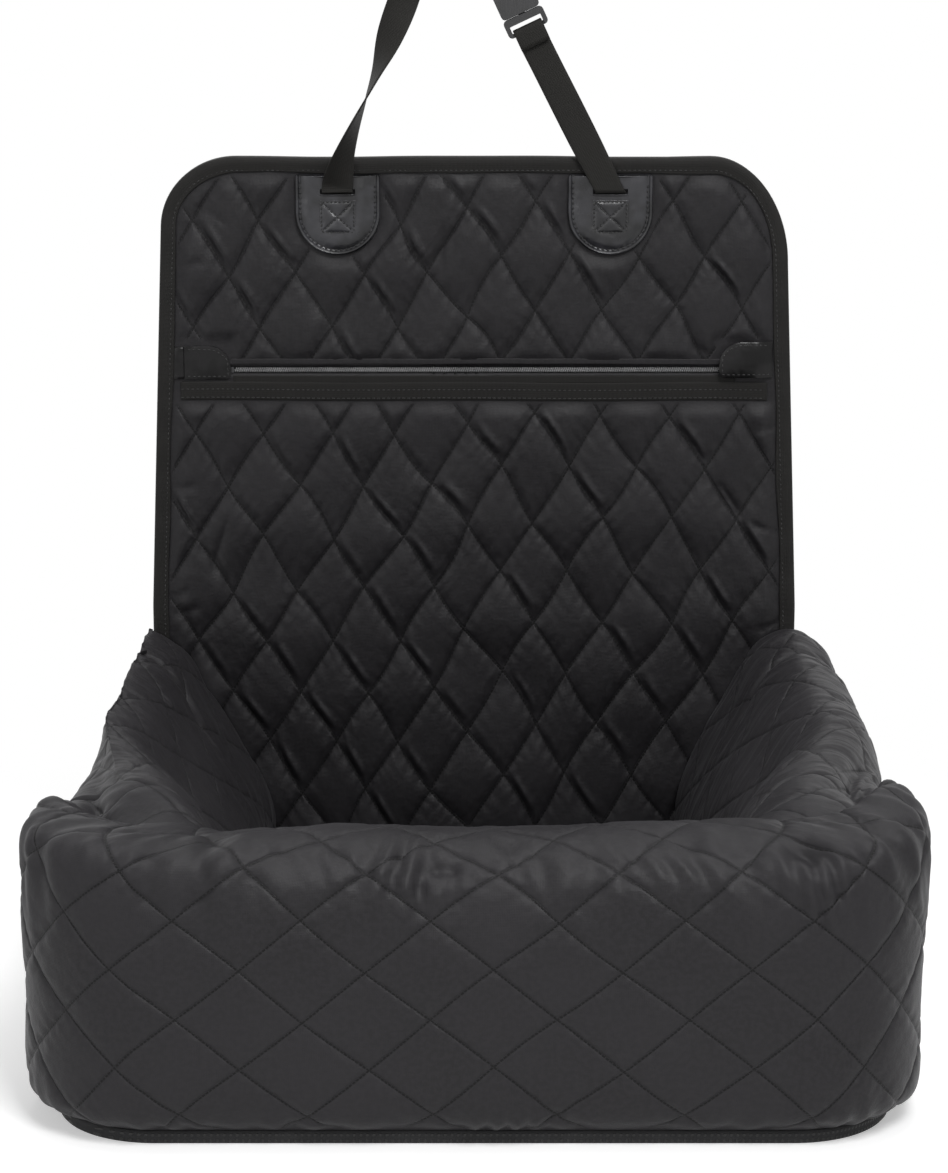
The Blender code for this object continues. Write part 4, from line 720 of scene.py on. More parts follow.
def folds(across, along, seed, length, bend=FOLD_BEND_SHARE):
    """Waves that run along one coordinate and wander, from about -1 to 1."""
    shift_length, strength_length, spread_length = [length * share for share in FOLD_LENGTH_SHARES]
    least, varied = FOLD_STRENGTH_SHARES
    spread_share, spread_turns = FOLD_SPREAD_SHARES
    shift = ripple(across, along, seed, shift_length) * bend
    strength = least + varied * ripple(across, along, seed + 1, strength_length)
    spread = ripple(across, along * 0, seed + 2, spread_length) * spread_share
    turns = math.tau * across / length + shift * FOLD_SHIFT_SHARE + spread * spread_turns
    return np.sin(turns) * strength


def line_spacing(diamond):
    """The distance between a quilting's lines of one family, and the run along a line per lattice step."""
    return 1 / math.hypot(1 / diamond[0], 1 / diamond[1]), math.hypot(*diamond) / 2


def line_distances(u, v, diamond):
    """Distance to the nearest stitch line of each family, and the distance run along that family's lines."""
    spacing, run = line_spacing(diamond)
    families = ((u + v, u - v), (u - v, u + v))
    return [(np.abs(phase - np.round(phase)) * spacing, other * run) for phase, other in families]


def quilted(u, v, diamond, reach):
    """How far a diamond's cover is let out: zero on its stitch lines, towards one at its middle."""
    (first, _), (second, _) = line_distances(u, v, diamond)
    return (1 - np.exp(-first / reach)) * (1 - np.exp(-second / reach))


def puckers(u, v, diamond, seed):
    """Small gathers across the stitch lines, strongest beside them."""
    total = 0
    length_share, turns = PUCKER_WANDER_SHARES
    for index, (away, run) in enumerate(line_distances(u, v, diamond)):
        wander = ripple(u * diamond[0], v * diamond[1], seed + index, PUCKER_LENGTH * length_share) * turns
        wave = np.sin(math.tau * run / PUCKER_LENGTH + wander)
        start = 1 - np.exp(-away / THREAD_RADIUS / PUCKER_START_SHARE)
        total = total + wave * np.exp(-away / PUCKER_REACH) * start
    return total


def normals_of(points):
    across = np.gradient(points, axis=0)
    along = np.gradient(points, axis=1)
    normal = np.cross(across, along)
    return normal / np.maximum(np.linalg.norm(normal, axis=2, keepdims=True), SMALLEST_LENGTH)


# Meshes
def new_mesh(name, points, faces, smooth=True, uv=None):
    """A mesh object from arrays. Its faces are one array of index rows, or a list of such arrays."""
    groups = faces if isinstance(faces, list) else [faces]
    loops = np.concatenate([np.asarray(group).reshape(-1) for group in groups])
    totals = np.concatenate([np.full(len(group), np.asarray(group).shape[1]) for group in groups])
    starts = np.concatenate([[0], np.cumsum(totals)[:-1]])
    mesh = bpy.data.meshes.new(name)
    mesh.vertices.add(len(points))
    mesh.vertices.foreach_set("co", np.asarray(points, np.float32).reshape(-1))
    mesh.loops.add(len(loops))
    mesh.loops.foreach_set("vertex_index", loops.astype(np.int32))
    mesh.polygons.add(len(totals))
    mesh.polygons.foreach_set("loop_start", starts.astype(np.int32))
    mesh.polygons.foreach_set("loop_total", totals.astype(np.int32))
    mesh.update(calc_edges=True)
    for layer, values in (uv or {}).items():
        made = mesh.uv_layers.new(name=layer)
        made.data.foreach_set("uv", np.asarray(values, np.float32)[loops].reshape(-1))
    if smooth:
        mesh.shade_smooth()
    return linked(name, mesh)


def linked(name, data):
    """A new object in the scene."""
    obj = bpy.data.objects.new(name, data)
    bpy.context.scene.collection.objects.link(obj)
    return obj


def add_field(obj, name, values):
    attribute = obj.data.attributes.new(name, "FLOAT", "POINT")
    attribute.data.foreach_set("value", np.asarray(values, np.float32).reshape(-1))


def finish_piece(obj, material, body=None, replaced=()):
    obj.data.materials.append(material)
    if body:
        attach(obj, body)
    if replaced:
        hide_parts(*replaced)
    return obj


def pairs(a, b):
    """Two fields as rows of two values."""
    return np.stack([a, b], -1).reshape(-1, 2)


def grid_faces(columns, rows, split_first=None, kept=None):
    """Faces of a grid: quads, or triangles where split_first tells which way each quad is cut."""
    index = np.arange(columns * rows).reshape(columns, rows)
    corners = (index[:-1, :-1], index[1:, :-1], index[1:, 1:], index[:-1, 1:])
    keep = slice(None) if kept is None else kept.reshape(-1)
    a, b, c, d = [corner.reshape(-1)[keep] for corner in corners]
    if split_first is None:
        return np.stack([a, b, c, d], 1)
    first = split_first.reshape(-1)[keep][:, None]
    one = np.where(first, np.stack([a, b, c], 1), np.stack([a, b, d], 1))
    two = np.where(first, np.stack([a, c, d], 1), np.stack([b, c, d], 1))
    return np.concatenate([one, two])


def grid_border(columns, rows):
    """The indexes round a grid's border."""
    index = np.arange(columns * rows).reshape(columns, rows)
    return np.concatenate([index[:, 0], index[-1, 1:], index[-2::-1, -1], index[0, -2:0:-1]])


def rising_diagonals(u, v):
    """For each quad of a grid, whether the nearest stitch line rises with u, so that the cut follows it."""
    middle_u = (u[:-1, :-1] + u[1:, 1:]) / 2
    middle_v = (v[:-1, :-1] + v[1:, 1:]) / 2
    falling = middle_u + middle_v
    rising = middle_u - middle_v
    return np.abs(rising - np.round(rising)) < np.abs(falling - np.round(falling))


def with_skirt(points, diagonals, lowered):
    """Faces and points of a grid closed by side walls and an underside."""
    columns, rows = points.shape[:2]
    border = grid_border(columns, rows)
    flat = points.reshape(-1, 3)
    below = lowered(flat[border])
    low = np.arange(len(flat), len(flat) + len(border))
    walls = np.stack([np.roll(border, -1), border, low, np.roll(low, -1)], 1)
    faces = [grid_faces(columns, rows, diagonals), walls, low[None, ::-1]]
    return faces, np.concatenate([flat, below])


def tubes(name, rings, uv=None):
    """Closed tubes from an array of tubes, rings, points and coordinates."""
    index = np.arange(rings[..., 0].size).reshape(rings.shape[:3])
    following = np.roll(index, -1, axis=2)
    parts = [index[:, :-1], following[:, :-1], following[:, 1:], index[:, 1:]]
    ends = np.concatenate([index[:, 0, ::-1], index[:, -1]])
    return new_mesh(name, rings.reshape(-1, 3), [np.stack(parts, 3).reshape(-1, 4), ends], uv=uv)


def lofted(name, rings, uv=None):
    """One closed tube through rings of as many points each, its faces turned outwards."""
    return face_out(tubes(name, np.asarray(rings, float)[None], uv))


def edit_mesh(obj, change):
    shape = bmesh.new()
    shape.from_mesh(obj.data)
    change(shape)
    shape.to_mesh(obj.data)
    shape.free()
    return obj


def face_out(obj):
    """Turns a closed mesh's faces outwards."""
    return edit_mesh(obj, lambda shape: bmesh.ops.recalc_face_normals(shape, faces=shape.faces))


def remove_loose(obj):
    def change(shape):
        loose = [vert for vert in shape.verts if not vert.link_faces]
        bmesh.ops.delete(shape, geom=loose, context="VERTS")

    return edit_mesh(obj, change)


def bake_modifiers(obj):
    """Keeps what the object's modifiers make of its mesh, and removes them."""
    graph = bpy.context.evaluated_depsgraph_get()
    made = bpy.data.meshes.new_from_object(obj.evaluated_get(graph))
    obj.modifiers.clear()
    obj.data = made
    return obj


def bevelled(obj, name, width, steps, angle):
    edge = obj.modifiers.new(name, "BEVEL")
    edge.width = width
    edge.segments = steps
    edge.limit_method = "ANGLE"
    edge.angle_limit = angle


def mesh_points(obj):
    points = np.empty(len(obj.data.vertices) * 3, np.float32)
    obj.data.vertices.foreach_get("co", points)
    return points.reshape(-1, 3)


def planar_uv(obj):
    """Lays the cloth map on a mesh as seen from the front."""
    layer = obj.data.uv_layers.get("cloth") or obj.data.uv_layers.new(name="cloth")
    indexes = np.empty(len(obj.data.loops), np.int32)
    obj.data.loops.foreach_get("vertex_index", indexes)
    flat = mesh_points(obj)[indexes][:, (0, 2)]
    layer.data.foreach_set("uv", np.ascontiguousarray(flat).reshape(-1))


# Stitches
def thread_row(name, path, material, body, outward=(0, -1, 0), pitch=STITCH_PITCH, radius=THREAD_RADIUS):
    """Stitches along a path of points, each a short thread that dips in at both ends."""
    path = np.asarray(path, float)
    out = np.array(outward, float)
    lengths = run_lengths(path)
    starts = np.arange(0, lengths[-1] - STITCH_LENGTH, pitch)
    offsets = np.linspace(0, 1, len(STITCH_SINK_SHARES))
    sinks = np.array(STITCH_SINK_SHARES) * radius
    widths = np.array(STITCH_WIDTH_SHARES) * radius
    angles = np.arange(STITCH_SIDES) * math.tau / STITCH_SIDES
    rings = []
    for start in starts:
        centre = points_at(start + offsets * STITCH_LENGTH, lengths, path)
        along = centre[-1] - centre[0]
        along /= np.linalg.norm(along)
        side = np.cross(along, out)
        side /= np.linalg.norm(side)
        turned = np.cos(angles)[:, None] * side + np.sin(angles)[:, None] * out
        for point, sink, width in zip(centre, sinks, widths):
            rings.append(point + out * sink + width * turned)
    rings = np.array(rings).reshape(len(starts), len(offsets), STITCH_SIDES, 3)
    return finish_piece(tubes(name, rings), material, body)


def facing(line, y):
    """A path on an upright plane from x and z."""
    return np.stack([line[:, 0], np.full(len(line), y), line[:, 1]], 1)


# Bolster surfaces
def side_seam_x(y):
    start = SEAM_FRONT_Y + TRAY_FRONT_RADIUS
    share = np.maximum(0, y - start) / (FACE_Y - start)
    return SEAM_HALF_FRONT + (SEAM_HALF_BACK - SEAM_HALF_FRONT) * share


def front_half_length():
    radius = TRAY_FRONT_RADIUS
    bend = (radius + BOLSTER_BULGE) * QUARTER
    return SEAM_HALF_FRONT - radius + bend + SIDE_SEAM_Y - SEAM_FRONT_Y - radius


def front_rails(distance):
    """Seam and inner foot points, in plan, at signed distances along the front bolster from its middle."""
    sign = np.where(distance < 0, -1.0, 1.0)
    distance = np.abs(distance)
    radius = TRAY_FRONT_RADIUS
    straight = SEAM_HALF_FRONT - radius
    swell = radius + BOLSTER_BULGE
    angle = np.clip((distance - straight) / swell, 0, QUARTER) - QUARTER
    beyond = np.maximum(distance - straight - swell * QUARTER, 0)
    outer_y = SEAM_FRONT_Y + radius + radius * np.sin(angle) + beyond
    outer_x = np.minimum(distance, straight) + radius * np.cos(angle)
    outer_x = np.where(beyond > 0, side_seam_x(outer_y), outer_x)
    share = np.maximum(distance - straight, 0) / (front_half_length() - straight)
    turn = INNER_CORNER_SWEEP * share - QUARTER
    inner_straight = INNER_HALF_FRONT - INNER_CORNER_RADIUS
    inner_x = np.minimum(distance / straight, 1) * inner_straight + INNER_CORNER_RADIUS * np.cos(turn)
    inner_y = SEAM_FRONT_Y + BOLSTER_DEPTH + INNER_CORNER_RADIUS * (1 + np.sin(turn))
    return np.stack([sign * outer_x, outer_y], -1), np.stack([sign * inner_x, inner_y], -1)


def side_length():
    return BED_BACK_Y - SIDE_SEAM_Y


def side_rails(distance, sign):
    """Seam and inner foot points, in plan, at distances along a side bolster from its front end."""
    end_inner = front_rails(np.array(front_half_length()))[1]
    share = distance / side_length()
    gap = TOUCH_GAP * 2
    outer_y = SIDE_SEAM_Y + gap + (BED_BACK_Y - SIDE_SEAM_Y - gap) * share
    inner_y = end_inner[1] + gap + (BED_BACK_Y - end_inner[1] - gap) * share
    inner_x = end_inner[0] + (INNER_HALF_BACK - end_inner[0]) * share
    outer = np.stack([sign * side_seam_x(outer_y), outer_y], -1)
    return outer, np.stack([sign * inner_x, inner_y], -1)


def section_curve(shares, bulge, height):
    """A section's outline by share of its length: shares, across, up and the length."""
    corners = [((bulge if a > 0 else BOLSTER_DEPTH) * a, height * up) for a, up in shares]
    line = curve_through(corners, SECTION_STEPS)
    lengths = run_lengths(line)
    return lengths / lengths[-1], line[:, 0], line[:, 1], lengths[-1]


def placed(rails, across, up):
    outer, inner = rails
    plan = outer + (outer - inner) * (across / BOLSTER_DEPTH)[..., None]
    return np.concatenate([plan, (BED_FLOOR_Z + up)[..., None]], -1)


def mixed_sections(lines, share, mix):
    """Across and up at shares of two sections' lengths, mixed."""
    shapes = [[np.interp(share, line[0], line[axis]) for axis in (1, 2)] for line in lines]
    return [first * (1 - mix) + second * mix for first, second in zip(*shapes)]


def front_surface():
    height = FRONT_CROWN_Z - BED_FLOOR_Z
    both = (FRONT_SECTION_SHARES, CORNER_SECTION_SHARES)
    lines = [section_curve(shares, BOLSTER_BULGE, height) for shares in both]

    def surface(station, share):
        away = np.abs(station)
        begun, ended = [(away - low) / (high - low) for low, high in (CORNER_START, CORNER_END)]
        mix = smooth_step(begun) * (1 - smooth_step(ended))
        return placed(front_rails(station), *mixed_sections(lines, share, mix))

    return surface, lines[0][3]


def side_surface(sign, bulge, shares):
    start = section_curve(FRONT_SECTION_SHARES, BOLSTER_BULGE, FRONT_CROWN_Z - BED_FLOOR_Z)
    end = section_curve(shares, bulge, SIDE_CROWN_Z - BED_FLOOR_Z)

    def surface(station, share):
        along = station / side_length()
        mix = smooth_step(along / SECTION_BLEND_SHARE)
        risen = rise(along, SIDE_RISE_START_SHARE, 1 - SIDE_RISE_START_SHARE)
        grown = 1 + (SIDE_BACK_CROWN_Z - SIDE_CROWN_Z) * risen / (SIDE_CROWN_Z - BED_FLOOR_Z)
        across, up = mixed_sections((start, end), share, mix)
        return placed(side_rails(station, sign), across, up * grown)

    return surface, start[3] / 2 + end[3] / 2


def lattice_between(start, end, step, origin):
    """Places on a lattice between two ends, the ends included."""
    first = math.ceil((start - origin) / step + LATTICE_END_SHARE)
    last = math.floor((end - origin) / step - LATTICE_END_SHARE)
    return np.array([start, *(origin + step * np.arange(first, last + 1)), end])


def end_sink(away, radius):
    """How far a cover draws in near its end, as a quarter round."""
    reach = np.clip(1 - away / radius, 0, 1)
    return radius * (1 - np.sqrt(1 - reach * reach))


def bolster(name, surface, length, ends, origin, shape, material, sink=QUILT_SINK):
    """A quilted cover, closed along its base and at both ends. shape adds its folds, positive outwards."""
    width, height = BOLSTER_DIAMOND
    stations = lattice_between(*ends, width / QUILT_STEPS, origin)
    lengths = lattice_between(0, length, height / QUILT_STEPS, BOLSTER_LATTICE_RISE)
    s, l = np.meshgrid(stations, lengths, indexing="ij")
    u, v = (s - origin) / width, (l - BOLSTER_LATTICE_RISE) / height
    from_floor = np.minimum(l, length - l)
    foot = smooth_step(from_floor / FOOT_FADE)
    end_away = np.minimum(s - ends[0], ends[1] - s)
    free = foot * smooth_step(end_away / FOOT_FADE)
    seed = len(name)
    warped_s = s + WARP_REACH * ripple(s, l, seed, WARP_LENGTH) * free
    warped_l = l + WARP_REACH * ripple(s, l, seed + 1, WARP_LENGTH) * free
    share = np.clip(warped_l / length, 0, 1)
    base = surface(warped_s, share)
    normal = normals_of(base)
    outward = normal[len(stations) // 2, len(lengths) // 3]
    faces_out = -outward[1] if name.startswith("front") else outward[0] * base[..., 0].mean()
    turn = 1 if faces_out > 0 else -1
    seam = np.exp(-l / SEAM_PUCKER_REACH) * smooth_step(l / SEAM_PUCKER_REACH * 2)
    moved = -sink * (1 - quilted(u, v, BOLSTER_DIAMOND, QUILT_REACH)) * foot
    moved += PUCKER_HEIGHT * puckers(u, v, BOLSTER_DIAMOND, seed) * free
    moved -= LUMP_HEIGHT * (0.5 + 0.5 * ripple(s, l, seed + 2, LUMP_LENGTH)) * foot
    moved += shape(s, l, share) * smooth_step(from_floor / FLOOR_TUCK)
    moved += SEAM_PUCKER_HEIGHT * folds(s, l, seed + 3, SEAM_PUCKER_LENGTH) * seam
    moved -= end_sink(end_away, END_ROUNDING)
    points = base + normal * turn * moved[..., None]
    points[..., 2] = np.maximum(points[..., 2], BED_FLOOR_Z)
    index = np.arange(s.size).reshape(s.shape)
    faces = grid_faces(len(stations), len(lengths), rising_diagonals(u, v))
    under = np.stack([index[:-1, 0], index[1:, 0], index[1:, -1], index[:-1, -1]], 1)
    caps = np.stack([index[0], index[-1][::-1]])
    if turn < 0:
        faces, caps = faces[:, ::-1], caps[:, ::-1]
    else:
        under = under[:, ::-1]
    maps = {"cloth": pairs(s, l), "quilt": pairs(u, v)}
    obj = new_mesh(name, points.reshape(-1, 3), [faces, under, caps], uv=maps)
    add_field(obj, "stitched", foot)
    finish_piece(obj, material, "bed", (name + "_cover", name + "_filling"))


def front_shape(s, l, share):
    """The front bolster's own folds: soft ones over its crown, mitred corners, dimples and pleats."""
    crown = bell(share, CROWN_SHARE, CROWN_SPREAD_SHARE)
    moved = CROWN_FOLD_HEIGHT * folds(s, l, 31, CROWN_FOLD_LENGTH) * crown
    moved += TOP_FOLD_HEIGHT * folds(s + l * TOP_FOLD_SLANT_SHARE, l, 37, TOP_FOLD_LENGTH) * crown
    moved -= TOP_SAG * bell(s, 0, TOP_SAG_REACH) * bell(share, SAG_SHARE, SAG_SPREAD_SHARE)
    for place, height, reach, depth in FRONT_DIMPLES:
        away = np.hypot((s - place) / reach[0], (share - height) / reach[1])
        moved -= depth * np.exp(-away * away)
    over, under = PLEAT_FADE_SHARES
    for place, top, low, reach, length, height in PLEATS:
        fade = rise(share, top, -over) * rise(share, low, under)
        moved += height * fade * bell(s, place, reach) * np.sin(math.tau * (s - place) / length)
    crest = rise(-s, CREST_SPAN[0], CREST_FADE) * rise(-s, CREST_SPAN[1], -CREST_FADE)
    moved += CREST_RISE * bell(share, *CREST_RISE_SHARES) * crest
    moved -= CREST_HOLLOW * bell(share, *CREST_HOLLOW_SHARES) * crest
    return moved - mitre_fold(np.abs(s), share, s < 0)


def mitre_fold(away, share, left):
    """How deep the covers sink at and behind the mitre, at a distance from the front bolster's middle."""
    tables = (MITRE_SLOPES, MITRE_DEPTHS, DROPS, DROP_REACHES, CAP_RISES)
    slope, depth, drop, reach, cap = [np.where(left, *pair) for pair in tables]
    beyond = away - MITRE_AWAY - (MITRE_SHARE - share) * slope
    start, end = MITRE_TOP_SHARES
    inner, fade = MITRE_INNER_SHARES
    on_top = rise(share, start, end - start) * rise(share, inner, -fade)
    sunk = depth * bell(beyond, 0, MITRE_WIDTH)
    sunk = sunk + drop * smooth_step(beyond / DROP_START) * np.exp(-np.maximum(beyond, 0) / reach)
    cap = cap * bell(away, CAP_PLACE, CAP_REACH) * bell(share, CAP_SHARE, CAP_SPREAD_SHARE)
    return sunk * on_top - cap * smooth_step(CAP_END_SHARE - beyond / CAP_REACH)


def side_shape(sign):
    """A side bolster's fine wrinkles, which fan out from the panel, and its hollows at both ends."""
    seed = WRINKLE_SEED + sign
    slant = WRINKLE_SLANT_SHARES[sign]
    height = WRINKLE_HEIGHT * WRINKLE_HEIGHT_SHARES[sign]

    def shape(s, l, share):
        calm, lively = WRINKLE_CALM_SHARES
        inner, fade = WRINKLE_INNER_SHARES
        light = calm + lively * rise(share, inner, -fade)
        closing, lean = WRINKLE_FAN_SHARES
        fanned = s * (1 - closing * share) + l * slant * lean
        waves = folds(fanned, l, seed, WRINKLE_LENGTH, WRINKLE_BEND_SHARE)
        strength, lean, longer, bend = SECOND_WRINKLE_SHARES
        second = folds(s - l * slant * lean, l, seed + SECOND_WRINKLE_SEED, WRINKLE_LENGTH * longer, bend)
        waves = waves + strength * second
        least, more = WRINKLE_BACK_SHARES
        at_back = least + more * np.exp(-(side_length() - s) / WRINKLE_BACK_REACH)
        moved = height * np.sign(waves) * np.abs(waves) ** WRINKLE_POWER * light * at_back
        moved -= mitre_fold(s + front_half_length(), share, sign < 0)
        tuck = side_length() - TUCK_BACK - (share - TUCK_MIDDLE_SHARE) * TUCK_SLANT
        inner, fade = TUCK_INNER_SHARES
        within = rise(share, inner, -fade) * rise(share, *TUCK_OUTER_SHARES)
        return moved - TUCK_DEPTH * np.exp(-np.abs(s - tuck) / TUCK_WIDTH) * within

    return shape


def build_bolsters(material, wrinkled):
    half = front_half_length()
    bolster("front_bolster", *front_surface(), (-half, half), BOLSTER_LATTICE_X, front_shape, material)
    bulges = (SIDE_LEFT_BULGE, SIDE_RIGHT_BULGE)
    sections = (LEFT_SECTION_SHARES, RIGHT_SECTION_SHARES)
    for (side, sign), bulge, shares in zip(SIDES, bulges, sections):
        surface = side_surface(sign, bulge, shares)
        ends = (0, side_length())
        origin = BOLSTER_DIAMOND[0] * SIDE_LATTICE_SHARE
        sink = QUILT_SINK * SIDE_QUILT_SHARE
        bolster(side + "_bolster", *surface, ends, origin, side_shape(sign), wrinkled, sink)


# Floor cushion and base
def build_floor_cushion(material):
    """The quilted pad between the bolsters, crowned and closed below."""
    half = INNER_HALF_BACK - 3 * TOUCH_GAP
    front, back = SEAM_FRONT_Y + BOLSTER_DEPTH + 3 * TOUCH_GAP, BED_BACK_Y
    width, height = BOLSTER_DIAMOND
    xs = lattice_between(-half, half, width / QUILT_STEPS, 0)
    ys = lattice_between(front, back, height / QUILT_STEPS, 0)
    x, y = np.meshgrid(xs, ys, indexing="ij")
    u, v = x / width, y / height
    across = 1 - (x / half) ** CUSHION_ROUNDING_POWER
    along = 1 - (2 * (y - front) / (back - front) - 1) ** CUSHION_ROUNDING_POWER
    fade = np.minimum(1, 2 * across * along)
    z = BED_FLOOR_Z + CUSHION_EDGE_HEIGHT + CUSHION_CROWN * np.sqrt(np.maximum(across * along, 0))
    z = z - QUILT_SINK * (1 - quilted(u, v, BOLSTER_DIAMOND, QUILT_REACH)) * fade
    z = z + PUCKER_HEIGHT * puckers(u, v, BOLSTER_DIAMOND, 5) * fade
    points = np.stack([x, y, z], -1)
    faces, points = with_skirt(points, rising_diagonals(u, v), lambda p: p * (1, 1, 0) + (0, 0, BED_FLOOR_Z))
    flat = points[:, :2]
    obj = new_mesh("floor_cushion_pad", points, faces, uv={"cloth": flat, "quilt": flat / BOLSTER_DIAMOND})
    add_field(obj, "stitched", np.arange(len(points)) < x.size)
    finish_piece(obj, material, "bed", ("floor_cushion",))


def tray_outline(inset=0.0):
    front, back = TRAY_FRONT_RADIUS - inset, TRAY_BACK_RADIUS
    right = SEAM_HALF_FRONT - TRAY_FRONT_RADIUS
    back_y = TAPE_FRONT_Y - TOUCH_GAP - inset
    half = arc((right, SEAM_FRONT_Y + TRAY_FRONT_RADIUS), front, front, -QUARTER, 0, TRAY_FRONT_STEPS)
    half += arc((SEAM_HALF_BACK - inset - back, back_y - back), back, back, 0, QUARTER, TRAY_BACK_STEPS)
    return half + [(-x, y) for x, y in reversed(half)]


def build_base(material):
    rings = [[(x, y, z) for x, y in tray_outline(inset)] for inset, z in BASE_LEVELS]
    obj = lofted("base_with_foam", rings)
    uv = obj.data.uv_layers.new(name="cloth")
    for face in obj.data.polygons:
        level = abs(face.normal.z) > abs(face.normal.xy.length)
        for index in face.loop_indices:
            co = obj.data.vertices[obj.data.loops[index].vertex_index].co
            uv.data[index].uv = (co.x, co.y) if level else (co.x + co.y, co.z)
    finish_piece(obj, material, "bed", ("anti_slip_base_tray", "floor_foam"))


# Back panel
def panel_half(z):
    share = np.clip((z - FOLD_Z) / (PANEL_TOP_Z - FOLD_Z), 0, 1)
    return PANEL_HALF_FOLD + (PANEL_HALF_TOP - PANEL_HALF_FOLD) * share


def top_wave(x):
    """How far the edge tape stands over the panel's top edge."""
    return TOP_WAVE_HEIGHT * np.maximum(0.5 + 0.5 * ripple(x, 0, 77, TOP_WAVE_LENGTH), 0)


def edge_distance(x, z):
    """Distance from the panel's free edge, positive inside, with its two round top corners."""
    side = panel_half(z) - np.abs(x)
    top = PANEL_TOP_Z - z
    width = np.where(x < 0, CORNER_LEFT_WIDTH, CORNER_RIGHT_WIDTH)
    height = np.where(x < 0, CORNER_LEFT_HEIGHT, CORNER_RIGHT_HEIGHT)
    in_corner = (side < width) & (top < height)
    across = np.clip(1 - side / width, 0, None)
    up = np.clip(1 - top / height, 0, None)
    mean = (width * across**2 + height * up**2) / np.maximum(across**2 + up**2, SMALLEST_SQUARE)
    return np.where(in_corner, (1 - np.hypot(across, up)) * mean, np.minimum(side, top))


def outside_box(x, z, left, right, low, high):
    """Distance outside an upright box, zero within it."""
    across = np.maximum(np.maximum(left - x, x - right), 0)
    up = np.maximum(np.maximum(low - z, z - high), 0)
    return np.hypot(across, up)


def tunnel_folds(u, v):
    """Ridges on the upper side of the falling stitch lines, each segment with a strength of its own."""
    line, segment = np.round(u + v), np.floor(u - v)
    off = (u + v - line) * line_spacing(PANEL_DIAMOND)[0]
    chance = np.sin(line * SCATTER_TURNS[0] + segment * SCATTER_TURNS[1]) * SCATTER_SPREAD
    chance = chance - np.floor(chance)
    strength = rise(chance, *TUNNEL_CHANCE_SHARES) * np.sin(math.pi * (u - v - segment)) ** 2
    ridge = bell(off, TUNNEL_AWAY, TUNNEL_WIDTH)
    nearer, narrower = TUNNEL_GROOVE_SHARES
    groove = bell(off, TUNNEL_AWAY * nearer, TUNNEL_WIDTH * narrower)
    return strength * (TUNNEL_HEIGHT * ridge - TUNNEL_DEPTH * groove)


def calm_places(x, z, edge):
    """One where the quilting is free, zero under the binding, patches, band and tabs."""
    fade = smooth_step((edge - BINDING_WIDTH + CALM_START) / EDGE_CALM)
    half = PATCH_WIDTH / 2
    round_z = PATCH_BOTTOM_Z + half
    for _, sign in SIDES:
        centre = sign * PATCH_X
        straight = outside_box(x, z, centre - half, centre + half, round_z, PANEL_TOP_Z)
        round_end = np.maximum(np.hypot(x - centre, z - round_z) - half, 0)
        fade = fade * smooth_step(np.minimum(straight, round_end) / PATCH_CALM)
    band = (-BAND_HALF_LENGTH, BAND_HALF_LENGTH, BAND_TOP_Z - BAND_HEIGHT, slot_edges()[1], PATCH_CALM)
    boxes = (
        band,
        (LEFT_TAB_X, LEFT_TAB_X + LEFT_TAB_WIDTH, LEFT_TAB_BOTTOM_Z, RIGHT_TAB_TOP_Z, TAB_CALM),
        (RIGHT_TAB_X - RIGHT_TAB_WIDTH, RIGHT_TAB_X, LEFT_TAB_BOTTOM_Z, RIGHT_TAB_TOP_Z, TAB_CALM),
    )
    for *box, reach in boxes:
        fade = fade * smooth_step(outside_box(x, z, *box) / reach)
    return fade


def panel_relief(x, z, u, v):
    """How far the panel's quilting and folds stand out in front of its face."""
    edge = edge_distance(x, z)
    fade = calm_places(x, z, edge)
    relief = PANEL_PUFF * PANEL_FULLNESS_SHARE * quilted(u, v, PANEL_DIAMOND, PANEL_SINK_REACH)
    relief += PANEL_PUCKER_HEIGHT * puckers(u, v, PANEL_DIAMOND, 9)
    relief += tunnel_folds(u, v)
    relief += PANEL_WAVE[0] * ripple(x, z, 12, PANEL_WAVE[1])
    inside = np.maximum(edge - BINDING_WIDTH, 0)
    sideways = np.where(PANEL_TOP_Z - z < panel_half(z) - np.abs(x), x, z)
    near = np.exp(-inside / EDGE_PUCKER_REACH)
    start = smooth_step(inside / EDGE_PUCKER_START)
    gather = folds(sideways, edge, 15, EDGE_PUCKER_LENGTH) * near * start
    relief = (relief + EDGE_PUCKER_HEIGHT * (EDGE_PUCKER_SHARE + gather) * start * near) * fade
    for *ends, depth, width in PANEL_CREASES:
        relief = relief - depth * crease(x, z, np.array(ends[:2]), np.array(ends[2:]), width)
    return np.clip(relief, PANEL_LOWEST, PANEL_PUFF), fade


def crease(x, z, start, end, width):
    """A short fold line: one along its middle, falling off across it and towards its ends."""
    length = math.hypot(*(end - start))
    along = (end - start) / length
    run = (x - start[0]) * along[0] + (z - start[1]) * along[1]
    off = (z - start[1]) * along[0] - (x - start[0]) * along[1]
    beyond = np.maximum(np.maximum(-run, run - length), 0)
    least, more = CREASE_END_SHARES
    strength = least + more * np.sin(math.pi * np.clip(run / length, 0, 1))
    return np.exp(-np.hypot(off, beyond) / width) * strength


def lattice_slip(x):
    """How far the quilting has slipped down on the panel's left side."""
    return -LATTICE_SLIP * (1 - rise(x, SLIP_FROM, SLIP_TO - SLIP_FROM))


